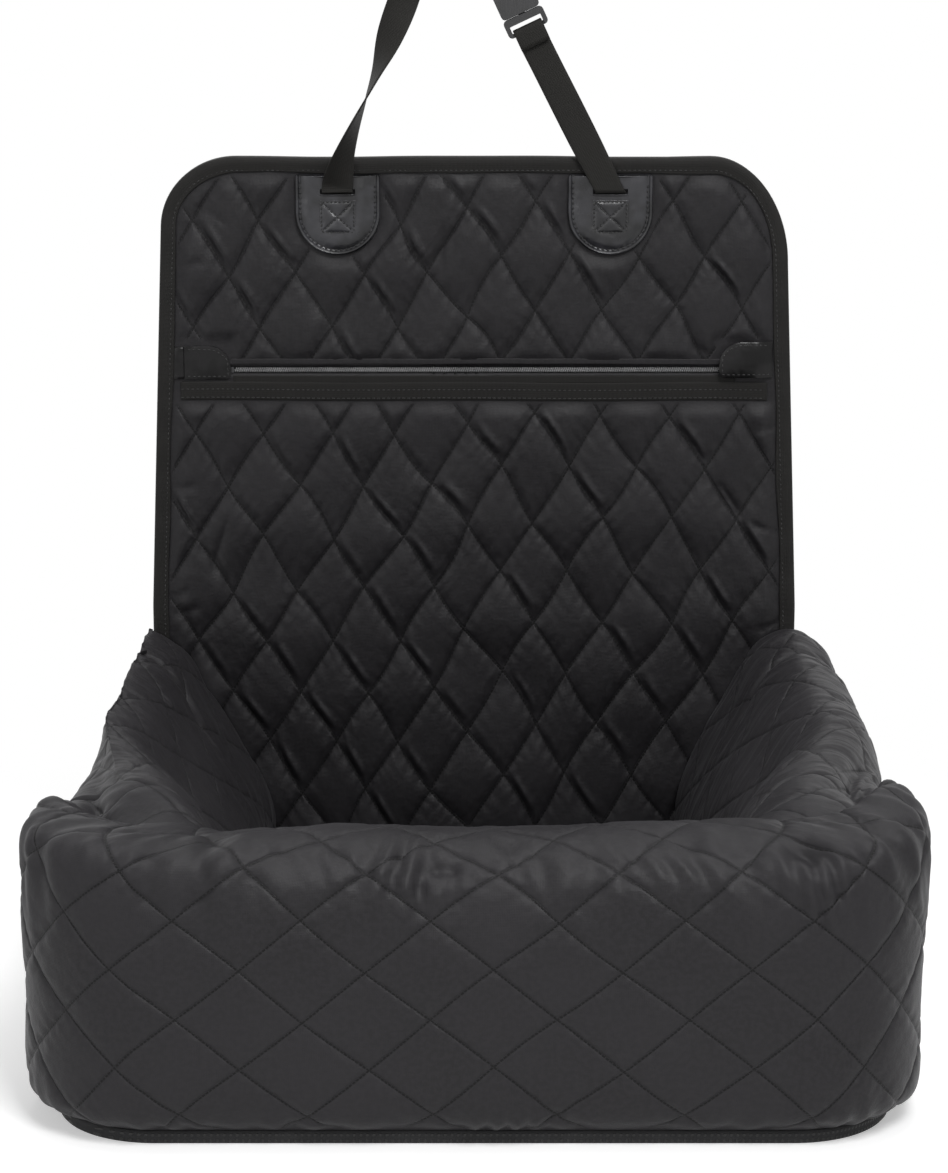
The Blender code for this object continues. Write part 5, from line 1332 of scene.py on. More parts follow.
def panel_grid():
    """The panel's lattice: x, z, u and v at its points, with rows moved onto the zip slot's edges."""
    column, row = [size / QUILT_STEPS for size in PANEL_DIAMOND]
    half, top = PANEL_HALF_FOLD - PANEL_EDGE_HIDDEN, PANEL_TOP_Z - PANEL_EDGE_HIDDEN
    xs = lattice_between(-half, half, column, PANEL_LATTICE_X)
    first = math.floor(-PANEL_LATTICE_Z / row) - 1
    last = math.ceil((top + LATTICE_SLIP - PANEL_LATTICE_Z) / row) + 1
    x, turns = np.meshgrid(xs, np.arange(first, last + 1), indexing="ij")
    z = np.clip(PANEL_LATTICE_Z + turns * row + lattice_slip(x), 0, top)
    for edge in slot_edges():
        z[np.arange(len(xs)), np.argmin(np.abs(z - edge), axis=1)] = edge
    return x, z, (x - PANEL_LATTICE_X) / PANEL_DIAMOND[0], turns / QUILT_STEPS


def slot_edges():
    return ZIP_Z - ZIP_SLOT_HEIGHT / 2, ZIP_Z + ZIP_SLOT_HEIGHT / 2


def panel_cells(x, z):
    """Which cells of the panel's grid are cloth: inside the edge, not empty and not in the zip's slot."""
    middle_x, middle_z = [(field[:-1, :-1] + field[1:, 1:]) / 2 for field in (x, z)]
    kept = edge_distance(middle_x, middle_z) > PANEL_EDGE_HIDDEN
    kept &= (z[:-1, 1:] > z[:-1, :-1] + TOUCH_GAP) & (z[1:, 1:] > z[1:, :-1] + TOUCH_GAP)
    low = np.minimum(z[:-1, :-1], z[1:, :-1])
    high = np.maximum(z[:-1, 1:], z[1:, 1:])
    slot_low, slot_high = slot_edges()
    in_slot = (high > slot_low + TOUCH_GAP) & (low < slot_high - TOUCH_GAP)
    in_slot &= (middle_x > ZIP_LEFT_X - SLOT_LEFT_REACH) & (middle_x < ZIP_RIGHT_X + SLOT_RIGHT_REACH)
    return kept & ~in_slot


def build_panel_front(material):
    """One quilted layer from the base to the top edge, with the zip's slot in it."""
    x, z, u, v = panel_grid()
    inside = smooth_step((edge_distance(x, z) - BINDING_WIDTH) / PANEL_WARP_FADE)
    inside = inside * smooth_step(np.abs(z - ZIP_Z) / PANEL_WARP_FADE) * smooth_step(z / PANEL_WARP_FADE)
    warped_x = x + PANEL_WARP * ripple(x, z, 21, PANEL_WARP_LENGTH) * inside
    warped_z = z + PANEL_WARP * ripple(x, z, 22, PANEL_WARP_LENGTH) * inside
    relief, fade = panel_relief(warped_x, warped_z, u, v)
    points = np.stack([warped_x, FACE_Y - relief, warped_z], -1)
    faces = grid_faces(*x.shape, rising_diagonals(u, v), panel_cells(x, z))
    maps = {"cloth": pairs(x, z), "quilt": pairs(u, v)}
    obj = new_mesh("back_panel_quilt", points.reshape(-1, 3), faces, uv=maps)
    add_field(obj, "stitched", fade)
    remove_loose(obj)
    obj.data.materials.append(material)
    thick = obj.modifiers.new("layer", "SOLIDIFY")
    thick.thickness = QUILT_LAYER
    thick.offset = -1
    bake_modifiers(obj)
    lowest = mesh_points(obj)
    lowest[:, 2] = np.maximum(lowest[:, 2], 0)
    obj.data.vertices.foreach_set("co", lowest.reshape(-1))
    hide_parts("flap_front_quilt", "lower_back_quilt", "lower_back_wadding")
    bend_at_fold(obj)


def bend_at_fold(obj):
    low, high = [(0, FACE_Y, FOLD_Z + sign * BEND_HALF_HEIGHT) for _, sign in SIDES]
    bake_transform(obj)
    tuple(low)
    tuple(high)


def upper_edge():
    """The free edge: up the right side, round both top corners and down the left side."""
    edge = []
    sizes = ((CORNER_RIGHT_WIDTH, CORNER_RIGHT_HEIGHT), (CORNER_LEFT_WIDTH, CORNER_LEFT_HEIGHT))
    for turn, (width, height) in enumerate(sizes):
        z = PANEL_TOP_Z - height
        centre = (float(panel_half(z)) - width) * (1 - 2 * turn)
        edge += arc((centre, z), width, height, turn * QUARTER, (turn + 1) * QUARTER, EDGE_CORNER_STEPS)
    return edge


def edge_frame():
    """Points along the whole edge from the right foot to the left one, with their inward directions."""
    half = PANEL_HALF_FOLD
    points = resampled([(half, 0), (half, FOLD_Z), *upper_edge(), (-half, FOLD_Z), (-half, 0)], BINDING_STEP)
    along = np.gradient(points, axis=0)
    along /= np.linalg.norm(along, axis=1, keepdims=True)
    for _ in range(EDGE_SMOOTHINGS):
        along[1:-1] = (along[:-2] + along[1:-1] * 2 + along[2:]) / 4
    inward = np.stack([-along[:, 1], along[:, 0]], 1)
    return points, inward / np.linalg.norm(inward, axis=1, keepdims=True)


def binding_section():
    """The folded tape's section: depth from the edge and y, from its front hem round to its rear one."""
    faces = {"front": TAPE_FRONT_Y, "middle": (TAPE_FRONT_Y + BACK_Y) / 2, "rear": BACK_Y}
    return [(BINDING_WIDTH * part + more, faces[at] + behind) for part, more, at, behind in BINDING_SECTION]


def build_binding(material, thread):
    """A tape folded over the panel's edge, with a row of stitches near its inner edge, front and back."""
    points, inward = edge_frame()
    run = run_lengths(points)
    shape = binding_section()
    height, length = BINDING_WAVE
    waves = np.abs(ripple(run, 0, 3, length) * height)
    wide = 1 + BINDING_WIDTH_WAVE_SHARE * ripple(run, 0, 4, BINDING_WIDTH_WAVE_LENGTH)
    near_top = smooth_step((points[:, 1] - PANEL_TOP_Z + TOP_WAVE_REACH) / TOP_WAVE_REACH)
    lifts = top_wave(points[:, 0]) * near_top
    rings = []
    for point, into, wave, grown, lift in zip(points, inward, waves, wide, lifts):
        ring = []
        for order, (depth, y) in enumerate(shape):
            x, z = point + into * depth * grown
            ring.append((x, y - (wave if order < BINDING_FRONT_POINTS else 0), z + lift))
        rings.append(ring)
    across = np.cumsum([0, *[math.dist(a, b) for a, b in zip(shape, shape[1:])]])
    uv = np.stack([np.repeat(run, len(shape)), np.tile(across, len(points))], 1)
    obj = lofted("edge_binding", rings, {"cloth": uv})
    nodes = ("flap_binding", "left_lower_binding", "right_lower_binding")
    finish_piece(obj, material, None, nodes)
    bend_at_fold(obj)
    line = points + inward * BINDING_WIDTH * BINDING_STITCH_SHARE
    for side, y, out in (("front", TAPE_FRONT_Y, -1), ("rear", BACK_Y, 1)):
        path = facing(line, y + out * BINDING_STITCH_RISE)
        bend_at_fold(thread_row("binding_stitches_" + side, path, thread, None, (0, out, 0)))


def upright_sheet(name, xs, zs, y_at, kept=None):
    """A single layer on a grid of x and z."""
    x, z = np.meshgrid(xs, zs, indexing="ij")
    faces = grid_faces(len(xs), len(zs), None, kept)
    if kept is not None:
        faces = faces[:, ::-1]
    points = np.stack([x, y_at(x, z), z], -1)
    return new_mesh(name, points.reshape(-1, 3), faces, uv={"cloth": pairs(x, z)})


def build_panel_rear(material):
    """The rear fabric, one sheet from the base to the top edge."""
    half = PANEL_HALF_FOLD - REAR_MARGIN
    xs = np.linspace(-half, half, REAR_STEPS[0])
    zs = np.linspace(0, PANEL_TOP_Z - REAR_MARGIN, REAR_STEPS[1])
    middle_x, middle_z = np.meshgrid((xs[:-1] + xs[1:]) / 2, (zs[:-1] + zs[1:]) / 2, indexing="ij")
    kept = edge_distance(middle_x, middle_z) > REAR_EDGE_HIDDEN
    (wave, wave_length), (fold, fold_length) = REAR_WAVES

    def y_at(x, z):
        soft = wave * ripple(x, z, 51, wave_length) + fold * folds(x, z, 52, fold_length)
        return BACK_Y - BINDING_TAPE - REAR_SINK + np.clip(soft, *REAR_LIMITS)

    obj = remove_loose(upright_sheet("rear_fabric", xs, zs, y_at, kept))
    finish_piece(obj, material, None, ("flap_rear_fabric", "lower_back_rear_fabric"))
    bend_at_fold(obj)


# Zip, band and pocket
def build_pocket(material, tape_material):
    """The lining behind the zip, and the zip's two tapes."""
    y = BACK_Y - BINDING_TAPE - REAR_LAYER - BOARD_LAYER - LINING_LAYER / 2 - 3 * TOUCH_GAP
    xs = np.linspace(-POCKET_HALF, POCKET_HALF, LINING_STEPS[0])
    zs = np.linspace(POCKET_BOTTOM_Z, ZIP_Z + ZIP_TAPE_HEIGHT, LINING_STEPS[1])
    height, length = LINING_WAVE
    lining = upright_sheet("pocket_lining_sheet", xs, zs, lambda x, z: y + height * ripple(x, z, 61, length))
    finish_piece(lining, material, "back_flap", ("pocket_lining",))
    tape_y = FACE_Y + ZIP_COIL_THICKNESS + 2 * TOUCH_GAP
    for side, sign in (("upper", 1), ("lower", -1)):
        low, high = sorted((ZIP_Z + sign * ZIP_TAPE_START, ZIP_Z + sign * ZIP_TAPE_HEIGHT))
        outline = ((ZIP_LEFT_X, low), (ZIP_RIGHT_X, low), (ZIP_RIGHT_X, high), (ZIP_LEFT_X, high))
        rings = [[(x, y, z) for x, z in outline] for y in (tape_y, tape_y + ZIP_TAPE_LAYER)]
        tape = lofted("zip_tape_cloth_" + side, rings, {"cloth": np.array(outline * 2)})
        tape.data.shade_flat()
        finish_piece(tape, tape_material, "back_flap", ("zip_tape_" + side,))


def build_zip(material):
    """Coil teeth, one row to each side, leaning like a spiral's turns."""
    count = int((ZIP_RIGHT_X - ZIP_LEFT_X) / TOOTH_PITCH)
    angles = np.arange(TOOTH_SIDES) * math.tau / TOOTH_SIDES
    for side, sign in (("upper", 1), ("lower", -1)):
        rings = []
        for number in range(count):
            start = ZIP_LEFT_X + TOOTH_PITCH * (number + TOOTH_PHASE_SHARES[sign])
            for offset, radius, back in TOOTH_RINGS:
                x = start + offset * TOOTH_LEAN_SHARE
                y = FACE_Y + TOUCH_GAP + TOOTH_SETBACK + back
                z = ZIP_Z + sign * offset
                ring = [(x + radius * math.cos(a), y + radius * math.sin(a), z) for a in angles]
                rings.append(ring[::sign])
        rings = np.array(rings).reshape(count, len(TOOTH_RINGS), TOOTH_SIDES, 3)
        teeth = tubes("zip_teeth_" + side, rings)
        finish_piece(teeth, material, "back_flap", ("zip_coil_" + side,))


def tape_strip(name, xs, low, high, front, wave, material, replaced=()):
    """A flat tape along the panel with soft edges, its middle a little full."""
    back = FACE_Y - TOUCH_GAP
    soft = (back - front) * SOFT_EDGE_SHARE
    face = [(share, front + soft * drawn) for share, drawn in TAPE_SECTION_SHARES]
    shape = [(0, back), *face, (1, back)]
    rings = [[(x, y, low + (high - low) * share + dip) for share, y in shape] for x, dip in zip(xs, wave)]
    across = np.tile([share * (high - low) for share, _ in shape], len(xs))
    obj = lofted(name, rings, {"cloth": np.stack([np.repeat(xs, len(shape)), across], 1)})
    return finish_piece(obj, material, "back_flap", replaced)


def build_band(material, lip_material, thread):
    """The grosgrain band below the zip with its stitch rows, and the cloth's folded lip above the zip."""
    xs = np.linspace(-BAND_HALF_LENGTH, BAND_HALF_LENGTH, BAND_STEPS)
    low = BAND_TOP_Z - BAND_HEIGHT
    front = FACE_Y - TOUCH_GAP - BAND_LAYER
    sag = BAND_WAVE * ripple(xs, 0, 71, BAND_WAVE_LENGTH)
    tape_strip("pocket_band_tape", xs, low, BAND_TOP_Z - BAND_WAVE, front, sag, material, ("pocket_band",))
    guard = np.linspace(GUARD_LEFT_X, GUARD_RIGHT_X, GUARD_STEPS)
    levels = (BAND_TOP_Z - GUARD_OVERLAP, GUARD_TOP_Z)
    tape_strip("zip_guard_tape", guard, *levels, front + GUARD_SETBACK, guard * 0, material)
    for name, height in BAND_STITCH_RISES.items():
        path = facing(pairs(xs, low + height + sag), front - BAND_LAYER * BAND_STITCH_FRONT_SHARE)
        thread_row("band_stitches_" + name, path, thread, "back_flap")
    xs = np.linspace(ZIP_LEFT_X - SLOT_LEFT_REACH, ZIP_RIGHT_X + SLOT_RIGHT_REACH, LIP_STEPS)
    wave = BAND_WAVE * ripple(xs, 0, 73, LIP_WAVE_LENGTH) / 2
    low = ZIP_Z + LIP_RISE
    lip_front = front - BAND_LAYER * LIP_FRONT_SHARE
    tape_strip("zip_lip", xs, low, low + LIP_HEIGHT, lip_front, wave, lip_material)


# Patches
def patch_outline(centre, inset=0.0):
    """A patch's outline, set in by a distance, always of as many points."""
    half = PATCH_WIDTH / 2 - inset
    top = PANEL_TOP_Z - BINDING_WIDTH - 2 * TOUCH_GAP - inset * PATCH_TOP_INSET_SHARE
    round_z = PATCH_BOTTOM_Z + PATCH_WIDTH / 2
    corner = max(PATCH_CORNER - inset, PATCH_RIM_HEIGHT / 2)
    outline = []
    for turn, sign in enumerate((1, -1)):
        middle = (centre + sign * (half - corner), top - corner)
        outline += arc(middle, corner, corner, turn * QUARTER, (turn + 1) * QUARTER, PATCH_CORNER_POINTS - 1)
    heights = np.linspace(top - corner, round_z, PATCH_SIDE_STEPS)[1:-1]
    outline += [(centre - half, z) for z in heights]
    outline += arc((centre, round_z), half, half, math.pi, math.tau, PATCH_ROUND_STEPS)
    return outline + [(centre + half, z) for z in heights[::-1]]


def cut_by(obj, low, high):
    """Cuts an upright box out of a mesh."""
    outline = ((low[0], low[1]), (high[0], low[1]), (high[0], high[1]), (low[0], high[1]))
    cutter = lofted("cutter", [[(x, y, z) for x, y in outline] for z in (low[2], high[2])])
    modifier = obj.modifiers.new("cut", "BOOLEAN")
    modifier.operation = "DIFFERENCE"
    modifier.object = cutter
    bpy.context.view_layer.update()
    bake_modifiers(obj)
    bpy.data.objects.remove(cutter, do_unlink=True)


def build_patch(side, sign, material, thread):
    """A moulded PU patch with a raised rim, a slot for the strap and the strap's box of stitches."""
    centre = sign * PATCH_X
    back = FACE_Y - TOUCH_GAP
    face = back - PATCH_THICKNESS
    levels = ((0, back), *[(inset, face - height) for inset, height in PATCH_RIM_LEVELS])
    rings = [[(x, y, z) for x, z in patch_outline(centre, inset)] for inset, y in levels]
    obj = lofted(side + "_patch", rings)
    left, right = centre - SLOT_WIDTH / 2, centre + SLOT_WIDTH / 2
    high = (right, back + CUT_REACH, SLOT_Z + SLOT_HEIGHT / 2)
    cut_by(obj, (left, face - CUT_REACH, SLOT_Z - SLOT_HEIGHT / 2), high)
    recess = back - WEBBING_THICKNESS - 3 * TOUCH_GAP
    cut_by(obj, (left, recess, SLOT_Z - ROOT_LENGTH - TOUCH_GAP), high)
    obj.data.shade_smooth()
    obj.data.set_sharp_from_angle(angle=SHARP_ANGLE)
    planar_uv(obj)
    finish_piece(obj, material, "back_flap", (side + "_strap_patch",))
    line = np.array(patch_outline(centre, PATCH_STITCH_INSET)[2 * PATCH_CORNER_POINTS :])
    row = side + "_patch_rim_stitches"
    path = facing(line, face + PATCH_STITCH_SETBACK)
    thread_row(row, path, thread, "back_flap", radius=PATCH_THREAD_RADIUS)
    build_pillow(side, centre, face, material)
    build_slot_lip(side, centre, face, material)
    build_box_stitches(side, centre, face, thread)


def build_box_stitches(side, centre, face, thread):
    """The strap's stitches: a square with a cross in it."""
    (left, right), (low, high) = box_spans(centre)
    corners = ((left, low), (right, low), (right, high), (left, high), (left, low))
    lines = {"box": corners, "cross_one": corners[0:3:2], "cross_two": corners[3:0:-2]}
    for name, line in lines.items():
        path = facing(resampled(line, BOX_STITCH_STEP), face - BOX_STITCH_RISE)
        row = side + "_patch_" + name
        thread_row(row, path, thread, "back_flap", pitch=BOX_STITCH_PITCH, radius=PATCH_THREAD_RADIUS)


def box_spans(centre):
    return (centre - BOX_HALF_WIDTH, centre + BOX_HALF_WIDTH), (SLOT_Z - BOX_LOW, SLOT_Z - BOX_HIGH)


def build_slot_lip(side, centre, face, material):
    """The leather's turned edge along the lower side of the slot."""
    steps, sides = SLOT_LIP_STEPS
    angles = np.arange(sides) * math.tau / sides
    reach = SLOT_WIDTH / 2
    z = SLOT_Z - SLOT_HEIGHT / 2 - SLOT_LIP_RADIUS
    y = face - SLOT_LIP_RISE
    rings = []
    for x in np.linspace(centre - reach, centre + reach, steps):
        radius = SLOT_LIP_RADIUS * (1 - SLOT_LIP_TAPER_SHARE * abs((x - centre) / reach) ** SLOT_LIP_POWER)
        rings.append([(x, y - radius * math.sin(a), z + radius * math.cos(a)) for a in angles])
    obj = lofted(side + "_patch_slot_lip", rings)
    planar_uv(obj)
    finish_piece(obj, material, "back_flap", ())


def build_pillow(side, centre, face, material):
    """The square of leather that the strap's stitches pull in: four small pillows round a cross."""
    (left, right), (low, high) = box_spans(centre)
    shares = np.linspace(-BOX_MARGIN_SHARE, 1 + BOX_MARGIN_SHARE, PILLOW_STEPS)
    a, b = np.meshgrid(shares, shares, indexing="ij")
    x, z = left + (right - left) * a, low + (high - low) * b
    width = right - left
    edge = np.minimum(np.minimum(np.abs(a), np.abs(1 - a)), np.minimum(np.abs(b), np.abs(1 - b))) * width
    cross = np.minimum(np.abs(a - b), np.abs(a + b - 1)) * width / math.sqrt(2)
    inside = (a > 0) & (a < 1) & (b > 0) & (b < 1)
    away = np.where(inside, np.minimum(edge, cross), edge)
    height = BOX_HEIGHT * (1 - np.exp(-away / BOX_REACH)) * np.where(inside, 1.0, BOX_OUTSIDE_SHARE)
    border = np.minimum(np.minimum(a, b), 1 - np.maximum(a, b)) + BOX_MARGIN_SHARE
    height = height * smooth_step(border / BOX_FADE_SHARE)
    points = np.stack([x, face - BOX_RISE - height, z], -1)
    diagonals = np.full((PILLOW_STEPS - 1, PILLOW_STEPS - 1), True)
    faces, points = with_skirt(points, diagonals, lambda p: p * (1, 0, 1) + (0, face + BOX_DEPTH, 0))
    obj = face_out(new_mesh(side + "_patch_pillow", points, faces))
    planar_uv(obj)
    finish_piece(obj, material, "back_flap", ())


# Tabs
def tab_edges(share, width, low, high):
    """A tab's upper and lower edge: a wide round upper corner and a small lower one at its free end."""
    edges = []
    for radius, edge, turn in ((TAB_UPPER_CORNER, high, -1), (TAB_LOWER_CORNER, low, 1)):
        reach = np.clip(1 - width * (1 - share) / radius, 0, 1)
        trim = min(radius, (high - low) * TAB_TRIM_SHARE) * (1 - np.sqrt(1 - reach * reach))
        edges.append(edge + turn * trim)
    return edges


def tab_stand(share, row, lift):
    """How far a tab stands off the panel, and how far its face is domed, over its width and its height."""
    level, more = TAB_ROW_SHARES
    lifted = lift * np.sin(QUARTER * np.minimum(1, share / TAB_RISE_SHARE))
    raised = lifted * (level + more * np.cos(row * QUARTER))
    dome = TAB_DOME * (1 - row**TAB_DOME_POWER)
    dome = dome * np.minimum(1, share / TAB_DOME_SHARE) * np.minimum(1, (1 - share) / TAB_DOME_SHARE)
    return raised, dome * (1 if lift else TAB_FLAT_DOME_SHARE)


def build_tab(side, hinge, width, low, high, lift, material):
    """A PU flap over a zip end, as a soft slab."""
    back = FACE_Y - TOUCH_GAP
    columns, rows = TAB_STEPS
    share, row = np.meshgrid(np.linspace(0, 1, columns), np.linspace(-1, 1, rows), indexing="ij")
    x = hinge + width * share
    top, bottom = tab_edges(share, abs(width), low, high)
    z = bottom + (top - bottom) * (row + 1) / 2
    raised, dome = tab_stand(share, row, lift)
    layers = (back - raised - TAB_LAYER - dome, back - raised)
    points = np.concatenate([np.stack([x, y, z], -1).reshape(-1, 3) for y in layers])
    faces = grid_faces(columns, rows)
    border = grid_border(columns, rows)
    following = np.roll(border, -1)
    walls = np.stack([border, following, following + x.size, border + x.size], 1)
    obj = face_out(new_mesh(side + "_tab", points, [faces, faces[:, ::-1] + x.size, walls]))
    bevelled(obj, "edge", TAB_BEVEL, 2, TAB_BEVEL_ANGLE)
    bake_modifiers(obj)
    obj.data.shade_smooth()
    planar_uv(obj)
    finish_piece(obj, material, side + "_tab", (side + "_zip_tab",))


def build_tab_stitches(side, hinge, width, low, high, lift, thread):
    """The row of stitches round a tab, a little inside its edges."""
    line = tab_stitch_line(hinge, width, low, high)
    share = np.clip((line[:, 0] - hinge) / width, 0, 1)
    row = np.clip((line[:, 1] - (low + high) / 2) / ((high - low) / 2), -1, 1)
    raised, dome = tab_stand(share, row, lift)
    path = facing(line, FACE_Y - TOUCH_GAP - raised - TAB_LAYER - dome - TAB_STITCH_RISE)
    thread_row(side + "_tab_stitches", path, thread, side + "_tab")


def tab_stitch_line(hinge, width, low, high):
    """The stitches' line round a tab, set in from its edges."""
    inset = TAB_STITCH_INSET
    shares = np.linspace(TAB_STITCH_START_SHARE, 1 - inset / abs(width), TAB_STITCH_STEPS)
    top, bottom = tab_edges(shares, abs(width), low, high)
    middle = (top[-1] + bottom[-1]) / 2
    over = list(zip(hinge + width * shares, np.maximum(top - inset, middle)))
    under = list(zip(hinge + width * shares, np.minimum(bottom + inset, middle)))
    return resampled(under + over[::-1], TAB_STITCH_STEP)


def build_tab_root(material):
    """The left tab's sewn end, between the binding and its hinge."""
    back = FACE_Y - TOUCH_GAP
    front = back - TAB_LAYER
    inner = LEFT_TAB_X - 2 * TOUCH_GAP
    rings = []
    for z in np.linspace(LEFT_TAB_BOTTOM_Z + TAB_ROOT_INSET, LEFT_TAB_TOP_Z - TAB_ROOT_INSET, TAB_ROOT_STEPS):
        outer = BINDING_WIDTH - float(panel_half(z)) + 2 * TOUCH_GAP
        raised = [(x, front - TAB_ROOT_RISE) for x in (outer + TAB_ROOT_INSET, inner - TAB_ROOT_INSET)]
        section = [(outer, back), (outer, front), *raised, (inner, front), (inner, back)]
        rings.append([(x, y, z) for x, y in section])
    obj = lofted("left_tab_root", rings)
    planar_uv(obj)
    finish_piece(obj, material, "back_flap", ())


def build_tabs(material, thread):
    left = (LEFT_TAB_X, LEFT_TAB_WIDTH, LEFT_TAB_BOTTOM_Z, LEFT_TAB_TOP_Z, 0.0)
    right = (RIGHT_TAB_X, -RIGHT_TAB_WIDTH, RIGHT_TAB_BOTTOM_Z, RIGHT_TAB_TOP_Z, RIGHT_TAB_LIFT)
    build_tab("left", *left, material)
    build_tab_root(material)
    build_tab_stitches("left", *left, thread)
    build_tab("right", *right, material)
    build_tab_stitches("right", *right, thread)


# Straps
def webbing_section():
    """Points round a strap's section, as shares of its half width and half thickness, with round edges."""
    ends = np.linspace(-QUARTER, QUARTER, WEBBING_ROUND_STEPS + 2)
    rounding = WEBBING_THICKNESS / WEBBING_WIDTH
    right = [(1 - rounding + rounding * math.cos(a), math.sin(a)) for a in ends]
    top = [(a, 1.0) for a in np.linspace(1 - rounding, rounding - 1, WEBBING_FLAT_STEPS)[1:-1]]
    half = np.array(right + top)
    return np.concatenate([half, -half])


def ribbon(name, stations, material, body, replaced, seed):
    """Flat webbing along stations of a centre and a direction across."""
    centres, across = [np.array([tuple(station[part]) for station in stations]) for part in (0, 1)]
    across /= np.linalg.norm(across, axis=1, keepdims=True)
    run = run_lengths(centres)
    normal = np.cross(np.gradient(centres, axis=0), across)
    normal /= np.linalg.norm(normal, axis=1, keepdims=True)
    shape = webbing_section()
    wide = 1 + WEBBING_WAVE_SHARE * ripple(run, 0, seed, WEBBING_WAVE_LENGTH)
    rings, maps = [], []
    for centre, side, out, length, grown in zip(centres, across, normal, run, wide):
        half, thick = WEBBING_WIDTH / 2 * grown, WEBBING_THICKNESS / 2
        rings.append(centre + shape[:, :1] * half * side + shape[:, 1:] * thick * out)
        maps.append(np.stack([shape[:, 0] * half, np.full(len(shape), length)], 1))
    obj = lofted(name, rings, {"cloth": np.concatenate(maps)})
    return finish_piece(obj, material, body, replaced)


def buckle_axes():
    along = Vector((-math.sin(BUCKLE_LEAN), 0, math.cos(BUCKLE_LEAN)))
    return along, Vector((math.cos(BUCKLE_LEAN), 0, math.sin(BUCKLE_LEAN)))


def wrap_radius(size=BAR_THICKNESS):
    return size / 2 + TOUCH_GAP + WEBBING_THICKNESS / 2


def behind_bar(bar):
    return bar + Vector((0, wrap_radius(), 0))


def wrap_stations(bar, towards, across):
    """Webbing half round a buckle's bar and back along itself."""
    beside = Vector((0, wrap_radius(), 0))
    beyond = -towards * wrap_radius(BAR_WIDTH + WRAP_EASE)
    angles = [math.pi * step / WRAP_STEPS for step in range(WRAP_STEPS + 1)]
    turn = [(bar + beside * math.cos(angle) + beyond * math.sin(angle), across) for angle in angles]
    return turn + [(bar - beside + towards * BUCKLE_TAIL * share, across) for share in WRAP_TAIL_SHARES]


def male_bar():
    return Vector((BUCKLE_X, STRAP_Y - wrap_radius(), BUCKLE_Z))


def build_right_strap(material):
    """From its patch straight to the buckle's male half, round its bar."""
    along, across = buckle_axes()
    bar = male_bar()
    start = Vector((PATCH_X, STRAP_Y, SLOT_Z - WEBBING_THICKNESS / 2))
    arrive = behind_bar(bar) - along * BUCKLE_TAIL
    stations = []
    for step in range(STRAP_STEPS):
        share = step / STRAP_STEPS
        turn = BUCKLE_LEAN * float(smooth_step(share * 2))
        stations.append((start.lerp(arrive, share), Vector((math.cos(turn), 0, math.sin(turn)))))
    stations += [(arrive.lerp(behind_bar(bar), share), across) for share in (0, *STRAP_ARRIVE_SHARES)]
    stations += wrap_stations(bar, -along, across)
    right = ribbon("right_strap_webbing", stations, material, "strap_loop", ("right_strap",), 2)
    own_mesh(right)


def build_left_strap(material):
    """From its patch with a half twist over the loop's top to the buckle's female half, round its bar."""
    along, across = buckle_axes()
    offset = MALE_BODY_LENGTH - BAR_WIDTH / 2 + TOUCH_GAP + FEMALE_CAVITY_LENGTH + FEMALE_WEB
    offset += FEMALE_WINDOW_LENGTH + BAR_WIDTH / 2
    bar = male_bar() + along * offset
    arrive = behind_bar(bar) + along * BUCKLE_TAIL
    line = curve_through([*LEFT_ROUTE, (arrive.x, arrive.z - SLOT_Z, 0, ROUTE_END_HALF_TURNS)], ROUTE_STEPS)
    line[0][1] -= WEBBING_THICKNESS / 2
    stations = []
    for (x, height, forward, half_turns), step in zip(line, np.gradient(line[:, :2], axis=0)):
        tangent = Vector((step[0], 0, step[1])).normalized()
        flat = Vector((tangent.z, 0, -tangent.x))
        turn = math.pi * half_turns
        sideways = flat * math.cos(turn) + Vector((0, math.sin(turn), 0))
        stations.append((Vector((x, STRAP_Y - forward, SLOT_Z + height)), sideways))
    last, sideways = stations[-1]
    across = across * (1 if sideways.dot(across) > 0 else -1)
    stations += [(last.lerp(behind_bar(bar), share), across) for share in STRAP_ARRIVE_SHARES]
    stations += wrap_stations(bar, along, across)
    ribbon("left_strap_webbing", stations, material, "strap_loop", ("left_strap",), 3)


def build_root(side, sign, material):
    """The strap's sewn end, flat behind the patch and out through its slot."""
    back = FACE_Y - 2 * TOUCH_GAP - WEBBING_THICKNESS / 2
    tip = STRAP_Y + WEBBING_THICKNESS / 2 + RUNNING_GAP
    bend = [(back - forward, SLOT_Z - below) for below, forward in ROOT_BEND]
    line = curve_through([(back, SLOT_Z - ROOT_LENGTH), *bend, (tip, SLOT_Z)], ROOT_STEPS)
    stations = [(Vector((sign * PATCH_X, y, z)), Vector((1, 0, 0))) for y, z in line]
    ribbon(side + "_strap_end", stations, material, "back_flap", (side + "_strap_root",), 5)


